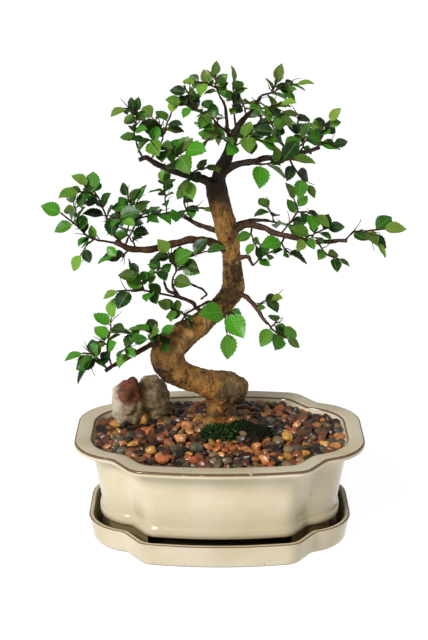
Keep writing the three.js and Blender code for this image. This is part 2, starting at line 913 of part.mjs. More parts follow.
// Stems of a spray: the main stem, moved so that it starts on the nearest limb, and its shoots.
function stemsOf(spray, woodBeads) {
  const first = spray.route[0];
  let nearest = woodBeads[0][0];
  for (const [centre] of woodBeads) {
    if (size(minus(centre, first)) < size(minus(nearest, first))) {
      nearest = centre;
    }
  }
  const main = {
    route: [nearest, ...spray.route.slice(1)],
    radii: spray.route.map((_, i) => {
      const share = i / (spray.route.length - 1);
      return STEM_RADII[0] + (STEM_RADII[1] - STEM_RADII[0]) * share;
    }),
    leaves: spray.leaves,
  };
  const stems = [main];
  for (const [share, tip, leaves] of spray.shoots) {
    const start = pointAt(main.route, share);
    const middle = plus(plus([0, 0, 1.5], start, 0.5), tip, 0.5);
    stems.push({
      route: [start, middle, tip],
      radii: [SHOOT_RADII[0], SHOOT_RADII[0], SHOOT_RADII[1]],
      leaves,
    });
  }
  return stems;
}

// Leaves.

// Point of a leaf: share of its length, share of its half width, height off its middle.
function leafPoint(leaf, along, across, height) {
  const sag = LEAF_BEND * leaf.length * along * along;
  const lift = LEAF_FOLD * leaf.half * Math.abs(across);
  const spine = plus(leaf.root, leaf.axis, along * leaf.length);
  return plus(plus(spine, leaf.side, across * leaf.half), leaf.normal, height - sag + lift);
}

// Whether a ball reaches into a leaf.
function leafMeets(leaf, point, radius) {
  const offset = minus(point, leaf.root);
  const along = dot(offset, leaf.axis) / leaf.length;
  const spare = (radius + LEAF_CLEARANCE) / leaf.length;
  if (along < -spare || along > 1 + spare) {
    return false;
  }
  const across = dot(offset, leaf.side) / leaf.half;
  const reach = along < 0.42 ? (0.42 - along) / 0.42 : (along - 0.42) / 0.58;
  const width = Math.max(0, 1 - reach * reach) + (radius + LEAF_CLEARANCE) / leaf.half;
  if (Math.abs(across) > width) {
    return false;
  }
  const lift = LEAF_FOLD * leaf.half * Math.min(1, Math.abs(across));
  const height = dot(offset, leaf.normal) + LEAF_BEND * leaf.length * along * along - lift;
  return Math.abs(height) < radius + LEAF_THICKNESS / 2 + LEAF_CLEARANCE;
}

// Corners of a leaf's outline and the middles between them.
function leafRim(leaf) {
  const rim = [];
  for (let i = 0; i < LEAF_OUTLINE.length; i += 1) {
    const [along, across] = LEAF_OUTLINE[i];
    const [nextAlong, nextAcross] = LEAF_OUTLINE[(i + 1) % LEAF_OUTLINE.length];
    rim.push(leafPoint(leaf, along, across, 0));
    rim.push(leafPoint(leaf, (along + nextAlong) / 2, (across + nextAcross) / 2, 0));
  }
  return rim;
}

function leafIsFree(leaf, placed, beads) {
  for (const [centre, radius] of beads) {
    if (leafMeets(leaf, centre, radius)) {
      return false;
    }
  }
  const rim = leafRim(leaf);
  for (const other of placed) {
    if (size(minus(other.root, leaf.root)) > other.length + leaf.length + 2) {
      continue;
    }
    if (rim.some((point) => leafMeets(other, point, 0))) {
      return false;
    }
    if (leafRim(other).some((point) => leafMeets(leaf, point, 0))) {
      return false;
    }
  }
  return true;
}

// Leaf at one place of a stem: two-ranked, to the left and right in turn, the last one
// straight on. Blades face up and out from the tree and hang a little.
function leafAt(stem, order, typical, draw, spread) {
  const last = order === stem.leaves - 1;
  const share = last ? 1 : 0.3 + (0.68 * order) / Math.max(1, stem.leaves - 1);
  const root = pointAt(stem.route, share);
  const direction = directionAt(stem.route, share);
  const roll = [draw(), draw(), draw()];
  const up = unit(plus(facing(root), roll, 0.3 + spread));
  const sideways = unit(cross(direction, up));
  const hand = order % 2 === 0 ? 1 : -1;
  const angle = (last ? 0.15 * draw() : 1.0 + 0.25 * draw()) + spread * draw();
  const turned = plus([0, 0, 0], direction, Math.cos(angle));
  const drooped = plus(turned, [0, 0, -1], 0.18 + 0.12 * draw());
  const axis = unit(plus(drooped, sideways, hand * Math.sin(angle)));
  const normal = unit(minus(up, plus([0, 0, 0], axis, dot(up, axis))));
  const length = LEAF_SCALE * typical * (1 + 0.22 * draw()) * (last ? 0.9 : 1);
  const sink = last ? END_LEAF_SINK : 0;
  return {
    root: plus(root, axis, -sink),
    axis,
    normal,
    side: cross(normal, axis),
    length: length + sink,
    half: length * (LEAF_WIDTH_SHARE + 0.04 * draw()),
  };
}

// Leaves of every spray, in order, each turned until it is clear of the wood, of the other
// sprays' stems and of the leaves before it, or left off.
function placeLeaves(sprays, woodBeads) {
  const placed = [];
  sprays.forEach((spray, sprayOrder) => {
    const others = sprays.filter((other) => other !== spray);
    const beads = woodBeads.concat(...others.map((other) => other.beads));
    let number = 0;
    for (const stem of spray.stems) {
      for (let order = 0; order < stem.leaves; order += 1) {
        number += 1;
        const draw = dice(7919 * (sprayOrder + 1) + 104729 * number);
        for (let attempt = 0; attempt < LEAF_TRIES; attempt += 1) {
          const leaf = leafAt(stem, order, spray.leaf, draw, 0.12 * attempt);
          if (leafIsFree(leaf, placed, beads)) {
            leaf.spray = spray.name;
            placed.push(leaf);
            break;
          }
        }
      }
    }
  });
  return placed;
}

// Thin blade with a toothed edge, thickest in the middle and split alike on both faces.
function leafSolid(leaf) {
  const corners = LEAF_OUTLINE.map(([along, across]) => leafPoint(leaf, along, across, 0));
  const top = leafPoint(leaf, LEAF_MIDDLE, 0, LEAF_THICKNESS * 0.45);
  const bottom = leafPoint(leaf, LEAF_MIDDLE, 0, -LEAF_THICKNESS * 0.55);
  const points = [...corners, top, bottom];
  const faces = [];
  for (let i = 0; i < corners.length; i += 1) {
    const next = (i + 1) % corners.length;
    faces.push(next, i, corners.length);
    faces.push(i, next, corners.length + 1);
  }
  const geometry = new THREE.BufferGeometry();
  geometry.setAttribute("position", new THREE.Float32BufferAttribute(points.flat(), 3));
  geometry.setIndex(faces);
  return solidOf(geometry);
}

// Ground.

function groundHeight(x, y) {
  const across = (x - 4) / 92;
  const deep = (y - 12) / 70;
  const away = Math.min(1, Math.sqrt(across * across + deep * deep));
  return 75 - 6 * away;
}

function soil(wood) {
  const filling = lobedBody([
    [null, null, POT_FLOOR_TOP + GAP],
    [24.5, 20.5, POT_FLOOR_TOP + GAP],
    [19.1, 16.5, 60],
    [17.2, 15.3, SOIL_TOP],
    [null, null, SOIL_TOP],
  ]);
  const side = SCREEN_SIDE + 2 * GAP;
  const pockets = [-1, 1].map((x) => box([side, side, 4], [x * DRAIN_X, 0, POT_FLOOR_TOP]));
  return largestBody(filling.subtract(union([wood, ...pockets])));
}

// Irregular stone: a faceted ball of radius 1, dented, turned and stretched.
function stone(shape, halfSizes, centre, seed) {
  const draw = dice(seed);
  shape.deleteAttribute("normal");
  shape.deleteAttribute("uv");
  const geometry = mergeVertices(shape, 1e-4);
  const position = geometry.attributes.position;
  for (let i = 0; i < position.count; i += 1) {
    const swell = 1 + 0.12 * draw();
    position.setXYZ(i, position.getX(i) * swell, position.getY(i) * swell, position.getZ(i) * swell);
  }
  geometry.rotateX(draw() * 3);
  geometry.rotateZ(draw() * 3);
  geometry.scale(...halfSizes);
  geometry.rotateZ(draw() * 0.4);
  geometry.translate(...centre);
  return solidOf(geometry);
}

function rock(grown = 0) {
  const lumps = ROCK_LUMPS.map(({ centre, halfSizes }, i) => {
    const sizes = halfSizes.map((half) => half + grown);
    return stone(new THREE.IcosahedronGeometry(1, 1), sizes, centre, 41 + i);
  });
  return union(lumps).trimByPlane([0, 0, 1], SOIL_TOP + GAP - grown);
}

// Low cushions with a rippled top, grown together into one pad.
function moss(grown = 0) {
  const cushions = MOSS_PATCHES.map(({ centre, halfSizes }) => {
    const geometry = new THREE.SphereGeometry(1, 8, 5);
    const position = geometry.attributes.position;
    for (let i = 0; i < position.count; i += 1) {
      const x = position.getX(i);
      const y = position.getY(i);
      const z = position.getZ(i);
      const ripple = 1 + 0.08 * Math.sin(9 * x + 1) * Math.sin(8 * z + 2);
      position.setXYZ(i, x * ripple, y * ripple, z * ripple);
    }
    geometry.rotateX(Math.PI / 2);
    geometry.scale(...halfSizes.map((half) => half + grown));
    geometry.translate(...centre);
    return solidOf(geometry);
  });
  return union(cushions).trimByPlane([0, 0, 1], SOIL_TOP + GAP - grown);
}

// Body of the gravel without its pebbles: fills the pot's mouth above the soil.
function gravelBounds() {
  return lobedBody([
    [null, null, SOIL_TOP + GAP],
    [17.1, 15.2, SOIL_TOP + GAP],
    [12.9, 12.7, RIM_TOP - 0.6],
    [12.9, 12.7, 90],
    [null, null, 90],
  ]);
}

// Gravel as one surface of jostled six-sided pebbles: a grid of triangles whose every third
// corner is a pebble's top and whose other corners are the dips between them.
function gravel(wood) {
  const geometry = new THREE.BoxGeometry(
    PEBBLE_COLUMNS,
    PEBBLE_ROWS,
    2,
    PEBBLE_COLUMNS,
    PEBBLE_ROWS,
    1,
  );
  const position = geometry.attributes.position;
  const rowStep = PEBBLE_STEP * Math.sin(Math.PI / 3);
  const shift = PEBBLE_SHIFT * PEBBLE_STEP;
  for (let i = 0; i < position.count; i += 1) {
    const column = Math.round(position.getX(i) + PEBBLE_COLUMNS / 2);
    const row = Math.round(position.getY(i) + PEBBLE_ROWS / 2);
    const draw = dice(131 * column + 4099 * row);
    const across = column - PEBBLE_COLUMNS / 2 - (row - PEBBLE_ROWS / 2) / 2;
    const x = across * PEBBLE_STEP + shift * draw();
    const y = (row - PEBBLE_ROWS / 2) * rowStep + shift * draw();
    const top = (column + row) % 3 === 0;
    const lift = top ? PEBBLE_RISE * (1 + 0.35 * draw()) : draw();
    const z = position.getZ(i) > 0 ? groundHeight(x, y) - DIP_DEPTH + lift : SOIL_TOP - 1;
    position.setXYZ(i, x, y, z);
  }
  const heap = solidOf(geometry).intersect(gravelBounds());
  return largestBody(heap.subtract(union([wood, rock(GAP), moss(GAP)])));
}

// Whole object.

const object = new THREE.Group();
object.name = "chinese_elm_bonsai";

const grownWood = tree(GAP);
const woodBeads = Object.values(LIMBS).flatMap((limb) => beadsOf(limb));
const sprays = Object.entries(SPRAYS).map(([name, spray]) => {
  const stems = stemsOf(spray, woodBeads);
  return { name, leaf: spray.leaf, stems, beads: stems.flatMap((stem) => beadsOf(stem)) };
});
const leaves = placeLeaves(sprays, woodBeads);

object.add(meshOf("drip_tray", dripTray(), GLAZE));
object.add(meshOf("pot", pot(), GLAZE));
object.add(meshOf("drainage_screen_left", drainageScreen(-1), PLASTIC));
object.add(meshOf("drainage_screen_right", drainageScreen(1), PLASTIC));
object.add(meshOf("soil", soil(grownWood), SOIL));
object.add(meshOf("gravel", gravel(grownWood), GRAVEL));
object.add(meshOf("moss", largestBody(moss().subtract(grownWood)), MOSS));
object.add(meshOf("rock", rock(), STONE));
object.add(meshOf("trunk", tree(0), BARK));
for (const spray of sprays) {
  const stems = spray.stems.map((stem) => stemSolid(stem));
  const blades = leaves.filter((leaf) => leaf.spray === spray.name).map((leaf) => leafSolid(leaf));
  const whole = union([...stems, ...blades]).subtract(grownWood);
  object.add(meshOf("spray_" + spray.name, largestBody(whole), LEAF));
}

export default object;
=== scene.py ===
"""Looks of a chinese elm bonsai in a lobed, glazed pot that stands in its drip tray.

Lengths in the tables are millimetres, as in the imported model's drawing, and become metres
where a mesh is made. +X is to the right, the viewer stands on the -Y side and +Z is up.
"""

import math
import random

import bpy
import numpy as np
from mathutils import Matrix, Vector, noise


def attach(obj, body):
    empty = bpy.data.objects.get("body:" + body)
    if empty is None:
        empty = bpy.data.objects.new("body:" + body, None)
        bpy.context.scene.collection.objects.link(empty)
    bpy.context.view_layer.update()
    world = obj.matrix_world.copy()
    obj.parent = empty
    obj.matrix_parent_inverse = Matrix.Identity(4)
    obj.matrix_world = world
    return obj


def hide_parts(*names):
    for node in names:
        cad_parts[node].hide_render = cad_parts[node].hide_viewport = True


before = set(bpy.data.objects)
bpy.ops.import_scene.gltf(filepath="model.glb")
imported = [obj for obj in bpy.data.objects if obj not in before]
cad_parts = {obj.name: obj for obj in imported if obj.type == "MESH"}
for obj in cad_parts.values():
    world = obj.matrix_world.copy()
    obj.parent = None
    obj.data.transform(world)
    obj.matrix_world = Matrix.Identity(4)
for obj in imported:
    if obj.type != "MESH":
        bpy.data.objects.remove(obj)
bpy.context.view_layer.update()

bl_info = {
    "name": "Chinese elm bonsai",
    "version": (1, 0, 0),
    "blender": (4, 5, 0),
    "location": "View3D > Sidebar > Bonsai",
    "description": "Builds a chinese elm bonsai in a glazed pot with gravel, rock and moss",
    "category": "Add Mesh",
}

MM = 0.001

# Lobed outline that the pot and the tray share, as drawn at the pot's rim.
RIM_HALF_LENGTH = 102.5
RIM_HALF_DEPTH = 75
RIM_BOW = 4
END_LOBE_CORNER = 36
END_LOBE_TURN = 72
NOTCH_RADIUS = 12
NOTCH_TURN = 35
LONG_LOBE_CORNER = 16
LONG_LOBE_FLAT = 50
ARC_STEPS = 10
NOTCH_STEPS = 6
STRAIGHT_STEPS = 5

# Rows of the pot's wall as (inset along the length, inset along the depth, height), from
# the underside over the lip to the floor inside.
POT_ROWS = [
    (20.0, 15.0, 19.0), (17.8, 13.1, 19.0), (17.25, 12.55, 19.2), (17.05, 12.35, 19.8),
    (17.0, 12.3, 22.0), (17.05, 12.35, 24.4), (17.3, 12.6, 25.3), (17.8, 13.1, 25.9),
    (18.3, 13.6, 26.5), (18.45, 13.8, 27.6), (18.1, 13.6, 31), (17.0, 13.0, 38),
    (15.7, 12.3, 46), (14.5, 11.6, 54), (13.4, 10.9, 60), (12.4, 10.3, 63.5),
    (11.0, 9.4, 65.7), (9.2, 8.1, 67.3), (6.8, 6.2, 68.4), (4.0, 3.8, 69.1),
    (1.6, 1.5, 69.5), (0.6, 0.6, 69.75), (0.1, 0.1, 70.2), (0, 0, 71.2), (0, 0, 72.6),
    (0.15, 0.15, 73.3), (0.6, 0.6, 73.65), (1.4, 1.4, 73.8), (4, 4, 73.75),
    (8, 8, 73.66), (10.8, 10.8, 73.5), (11.7, 11.7, 73.2), (12.2, 12.1, 72.6),
    (12.6, 12.5, 71.6), (14.6, 13.6, 68), (18.6, 16, 60), (21, 17.8, 45),
    (23.6, 19.7, 28), (25, 21, 25.4), (27, 23, 25),
]

# Rows of the tray's wall and the size of its rim.
TRAY_ROWS = [
    (6.5, 6.5, 0), (4.4, 4.4, 0), (3.8, 3.8, 0.12), (3.3, 3.3, 0.6), (2.9, 2.9, 1.4),
    (2.4, 2.4, 4.4), (1.7, 1.7, 8.4), (0.9, 0.9, 12.4), (0.3, 0.3, 15.4), (0.05, 0.05, 16.3),
    (0, 0, 16.7), (0.15, 0.15, 17.05), (0.6, 0.6, 17.28), (1.3, 1.3, 17.3),
    (2.4, 2.4, 17.3), (3.0, 3.0, 17.15), (3.4, 3.4, 16.6), (4.4, 4.4, 13.2),
    (5.7, 5.7, 8.9), (6.7, 6.7, 5.6), (7.6, 7.6, 4.6), (9.2, 9.2, 4.2),
]
TRAY_HALF_LENGTH = 93.5
TRAY_HALF_DEPTH = 70.3

# Rows of the ring that the four feet are cut from, of the middle that is taken out of it, and
# how far off the middle of the pot each foot starts.
FOOT_ROWS = [(20.8, 16.1, 4.5), (20.5, 15.8, 4.7), (20.1, 15.4, 6), (19.5, 14.8, 20)]
FOOT_HOLLOW_ROWS = [(30, 25, 3), (30, 25, 21)]
FOOT_START = (50, 30)

# Drainage holes and the drill that cuts them.
DRAIN_X = 42
DRAIN_RADIUS = 8
DRILL_SIDES = 40
DRILL_HEIGHT = 25
DRILL_LENGTH = 20

# Heights of rows are matched within this much.
ROW_MATCH = 0.004

# Rows of the bed of grit, from just above the soil, and how it is heaped up.
BED_UNDERSIDE = 64.3
BED_ROWS = [
    (17.6, 15.7, BED_UNDERSIDE), (15.8, 14.6, 66.4), (32, 28, 68), (62, 50, 69.6),
    (92, 68, 70.2),
]
CREST_PLACE = (4, 12)
CREST_REACH = (92, 70)
CREST_TOP = 75
CREST_FALL = 6

# Pot's mouth as insets from the rim, and what stands in it: the trunk's foot as (x, y, radius),
# the rock's feet as (x, y, half width, half depth) and the moss as (middle, half sizes).
MOUTH_INSETS = (12.9, 12.7)
TRUNK_FOOT = (0, 19, 11)
ROCK_FEET = [(-66, 24, 11.5, 9.5), (-49, 35, 12.5, 10.5)]
MOSS_PATCHES = [
    ((-1, -8, 71), (14, 12, 9)), ((15, 1, 71), (12, 10, 8.5)), ((27, -5, 70), (12, 11, 7.5)),
]

# Sprigs of the moss: where they start, how they lean, and the faces of one.
MOSS_GROUND = 70
MOSS_SEED = 12
SPRIG_LEAN = 0.65
SPRIG_LENGTHS = (1.2, 3.2)
SPRIG_WIDTHS = (0.25, 0.42)
SPRIG_SINK = 0.4
SPRIG_FACES = [
    (0, 1, 4), (1, 2, 4), (2, 3, 4), (3, 0, 4), (1, 0, 5), (2, 1, 5), (3, 2, 5), (0, 3, 5),
]

# Pebbles: how many kinds there are and how each is lumped and ground flat.
PEBBLE_KINDS = 14
PEBBLE_LUMPS = 0.06
PEBBLE_FLATS = 9
FLAT_DEPTHS = (0.56, 0.88)
FLATNESS = 0.95

# Layers of pebbles as (one in how many of the pebbles, how deep they lie, seed), their least and
# greatest sizes as shares of the typical one, and how unevenly they lie.
PEBBLE_LAYERS = [(1, 1.0, 5), (2, 3.6, 6)]
PEBBLE_SPREAD = (0.62, 1.42)
PEBBLE_LENGTHS = (0.95, 1.3)
PEBBLE_WIDTHS = (0.8, 1.05)
PEBBLE_HEIGHTS = (0.55, 0.85)
PEBBLE_TILT = 0.5
PEBBLE_RISE = 0.9

# Field that the pebbles are strewn over, and how they are pushed apart and off the rim.
PEBBLE_FIELD = (90, 63)
PEBBLE_SPACING = 0.93
PEBBLE_PUSH = 0.3
PEBBLE_ROUNDS = 160
RIM_SPACING = 0.8

# Oval of pebbles beside the moss darkened as a painted shadow, as (middle, half sizes), and how much
# it darkens them.
PAINTED_SHADOW_OVAL = ((28, 6), (17, 13))
PAINTED_SHADOW_SHADE = 1.45

# Larger pebbles that catch the eye, as (x, y, width, height, tone), and how they lie.
SHOW_SHADE = 0.1
SHOW_TILT = 0.25
SHOW_DEPTH_SHARE = 0.84
SHOW_RISE = 0.12
SHOW_PEBBLES = [
    (-56, 22, 12, 15, 0.96), (-69, 13, 9, 8, 0.29), (-48, -31, 8.5, 8, 0.96),
    (-16, -29, 11.5, 8, 0.7), (48, -11, 10.5, 9, 0.96), (48, -31, 9.5, 7, 0.46),
    (26, -28, 9, 8, 0.54), (-28, -15, 11, 8, 0.54), (-24, 5, 10, 9, 0.54),
    (-40, -47, 11, 8, 0.04), (-28, -40, 8, 8, 0.29), (-18, -48, 9, 7, 0.04),
    (31, -47, 9, 8, 0.54), (-50, -1, 9, 8, 0.04),
]

# Rows where the glaze has run thin, and rows of painted shade in the tray and under the pot, height
# of the row to share.
POT_WORN = {
    19.0: 0.5, 19.2: 1, 69.5: 0.3, 69.75: 0.5, 70.2: 0.3, 73.3: 0.9, 73.65: 1, 73.8: 0.3,
    73.5: 0.2, 73.2: 0.9, 72.6: 0.8,
}
TRAY_WORN = {0.12: 0.7, 0.6: 0.9, 16.7: 0.3, 17.05: 0.9, 17.28: 1, 17.15: 0.5}
TRAY_PAINTED_SHADE = {16.6: 0.1, 13.2: 0.35, 8.9: 0.65, 5.6: 0.9, 4.6: 1, 4.2: 1}
POT_PAINTED_SHADE = {19.0: 1, 19.2: 0.8, 19.8: 0.45, 4.5: 1, 4.7: 1, 6: 1}

# Rusty patch of the rock as (place, reach).
RUST_PATCH = ((-65, 14, 100), 19)

# Knots of the trunk as (place, reach, rise), patches of its bark as (place, reach), the dark ones
# partly painted shade and the pale ones partly painted light, and the places of small red knots.
KNOTS = [
    ((-44, -6, 122), 9, 1.6), ((6, 3, 176), 9, 1.2), ((-26, -9, 140), 7, 0.9),
    ((3, 12, 111), 12, 3.6), ((20, 12, 108), 8, 1.5), ((-12, 0, 98), 6, 1.1),
    ((4, 4, 214), 6, 0.8),
    ((-22, -5, 112), 6, -1.0), ((-4, 0, 160), 5, -0.7),
]
DARK_AND_SHADED_PATCHES = [
    ((-41, -10, 115), 15), ((6, 0, 172), 16), ((-30, -8, 101), 11), ((14, 6, 82), 13),
    ((15, 2, 188), 14), ((29, 10, 96), 14), ((13, 2, 206), 8), ((-30, -6, 136), 7),
]
PALE_AND_LIT_PATCHES = [
    ((-13, -4, 102), 16), ((-2, 6, 88), 9), ((4, -2, 202), 13), ((0, -2, 232), 11),
    ((-26, -8, 118), 9),
]
STUMP_END = ((17, 12, 103), 22)
RED_KNOTS = [(7, 4, 214), (7, 3, 204)]
RED_KNOT_REACH = 3.0
RED_KNOT_PIT = 1.8

# Camera, fitted to the view of the pot's rim: metres, degrees and millimetres.
CAMERA_PLACE = (-0.004, -1.000, 0.487)
CAMERA_PITCH = 71.7
CAMERA_LENS = 84.7
SENSOR_WIDTH = 36

# Lights as (turn, spread) in degrees, and the floor's grey.
KEY_SUN = ((52, 0, -38), 24)
FILL_SUN = ((58, 0, 65), 60)
FLOOR_GREY = 0.09

# Middle of the tree, which its leaves face away from.
TREE_AXIS = (0, 5)

# Limbs of the tree as (route, radii).
LIMBS = {
    "base": (
        [(0, 19, 50), (0, 19, 63), (0, 19, 73), (0, 18, 82), (1, 16, 91), (3, 14, 100)],
        [7, 9.5, 10.5, 10, 10.5, 9.5],
    ),
    "stump": ([(-12, 8, 107), (0, 12, 101), (8, 15, 99), (17, 18, 97)], [8.6, 10.6, 12, 9]),
    "trunk": (
        [
            (4, 13, 96), (-4, 11, 102), (-14, 7, 108), (-27, 2, 115), (-35, -1, 124),
            (-36, -2, 135), (-28.4, -1, 142.4), (-19.3, 2, 149.2), (-7.5, 6, 157.4),
            (4, 9, 167), (9, 11, 176), (9, 12, 189), (8, 12, 203), (5, 11, 218),
            (1, 9, 233), (-2, 6, 248), (-3, 5, 256),
        ],
        [11.5, 9.8, 9.5, 10, 11.5, 12, 10.7, 9.1, 7.5, 7.5, 8, 7.2, 6.5, 8.3, 7.2, 7.8, 7.2],
    ),
    "root_left": ([(-4, 18, 75), (-14, 15, 72), (-24, 11, 68), (-32, 7, 61)], [5.5, 4, 3, 2]),
    "root_front": (
        [(-3, 15, 75), (-11, 6, 72), (-19, -3, 68), (-26, -11, 61)], [5.5, 3.8, 2.8, 2],
    ),
    "root_right": ([(4, 18, 75), (14, 14, 72), (25, 10, 67), (34, 6, 61)], [5.5, 4, 3, 2]),
    "root_back": ([(1, 22, 75), (3, 31, 72), (6, 40, 67), (8, 46, 61)], [5.5, 4, 3, 2]),
    "leader": (
        [
            (-3, 5, 248), (1, 3, 263), (5, 2, 272), (8, 3, 282), (11, 6, 289), (16, 10, 296),
            (23, 14, 303), (28, 17, 311),
        ],
        [5, 5, 4.2, 3.4, 2.8, 2.2, 1.7, 1.2],
    ),
    "apex_stem": ([(8, 3, 282), (5, 2, 290), (4, -1, 302), (2, -3, 311)], [1.6, 1.3, 1.1, 0.9]),
    "top_left": (
        [
            (-2, 4, 250), (-11, -1, 257), (-20, -8, 261), (-33, -16, 267), (-42, -21, 272),
            (-49, -24, 277), (-53, -26, 276),
        ],
        [3.4, 3, 2.6, 2.2, 1.9, 1.7, 1.4],
    ),
    "top_right": (
        [
            (-1, 4, 258), (9, -4, 267), (19, -11, 271), (29, -17, 275), (42, -19, 277),
            (54, -18, 279), (66, -15, 282),
        ],
        [3, 2.5, 2.2, 2, 1.8, 1.6, 1.3],
    ),
    "back_right_top": (
        [(10, 5, 288), (24, 20, 289), (36, 30, 290), (50, 38, 287)],
        [1.8, 1.5, 1.3, 1],
    ),
    "mid_left": (
        [
            (5, 11, 205), (-6, 2, 212), (-12, -4, 215), (-20, -9, 217), (-33, -14, 215),
            (-48, -17, 212), (-61, -18, 213), (-71, -19, 218),
        ],
        [3.4, 3, 2.8, 2.6, 2.5, 2.3, 2.1, 1.7],
    ),
    "upper_left": (
        [(4, 11, 215), (-7, 20, 217), (-15, 27, 218), (-25, 34, 222), (-34, 40, 225)],
        [2.2, 1.9, 1.7, 1.4, 1.1],
    ),
    "lower_left": (
        [
            (-10, 5, 156), (-15, -2, 165), (-18, -5, 170), (-28, -9, 176), (-35, -12, 181),
            (-38, -14, 188),
        ],
        [1.8, 1.5, 1.4, 1.3, 1.1, 0.9],
    ),
    "curled_twig": (
        [
            (-28, -9, 176), (-32, -10, 184), (-29, -12, 189), (-25, -12, 189),
            (-18, -11, 185), (-12, -10, 182), (-9, -9, 178), (-13, -8, 174),
        ],
        [1, 0.9, 0.9, 0.8, 0.8, 0.8, 0.7, 0.7],
    ),
    "hanging_twig": (
        [(-2, 8, 163), (-8, -1, 170), (-17, -3, 166), (-23, -5, 163), (-27, -6, 157)],
        [1.1, 1, 0.9, 0.8, 0.7],
    ),
    "low_left": (
        [(-34, -2, 139), (-46, -9, 142), (-56, -14, 138), (-69, -20, 132), (-79, -24, 127)],
        [2.4, 2, 1.8, 1.6, 1.3],
    ),
    "right": (
        [
            (5, 11, 217), (14, 8, 221), (19, 5, 224), (26, 0, 224), (36, -5, 221),
            (48, -9, 219), (63, -12, 216), (76, -14, 217), (86, -16, 218),
        ],
        [3, 2.5, 2.3, 2.2, 2, 1.9, 1.7, 1.5, 1.2],
    ),
    "right_stub": ([(8, 12, 199), (15, 6, 200), (20, 3, 201), (23, 0, 196)], [2.2, 1.7, 1.4, 1]),
    "right_low": (
        [
            (8, 11, 173), (14, 6, 173), (19, 3, 172), (24, -2, 168), (28, -6, 163),
            (33, -10, 157),
        ],
        [2.4, 2, 1.8, 1.6, 1.4, 1.1],
    ),
    "back_right": ([(6, 12, 217), (13, 28, 218), (23, 42, 217), (35, 54, 214)], [2.4, 1.9, 1.6, 1.1]),
}
THICK_LIMBS = (
    "base", "stump", "trunk", "root_left", "root_front", "root_right", "root_back", "leader",
)
BRANCH_SEED = 8
BRANCH_KINK = 0.5
START_SWELL = 1.3
BUD_SWELL = 1.08
MIDDLE_SLIM = 0.92

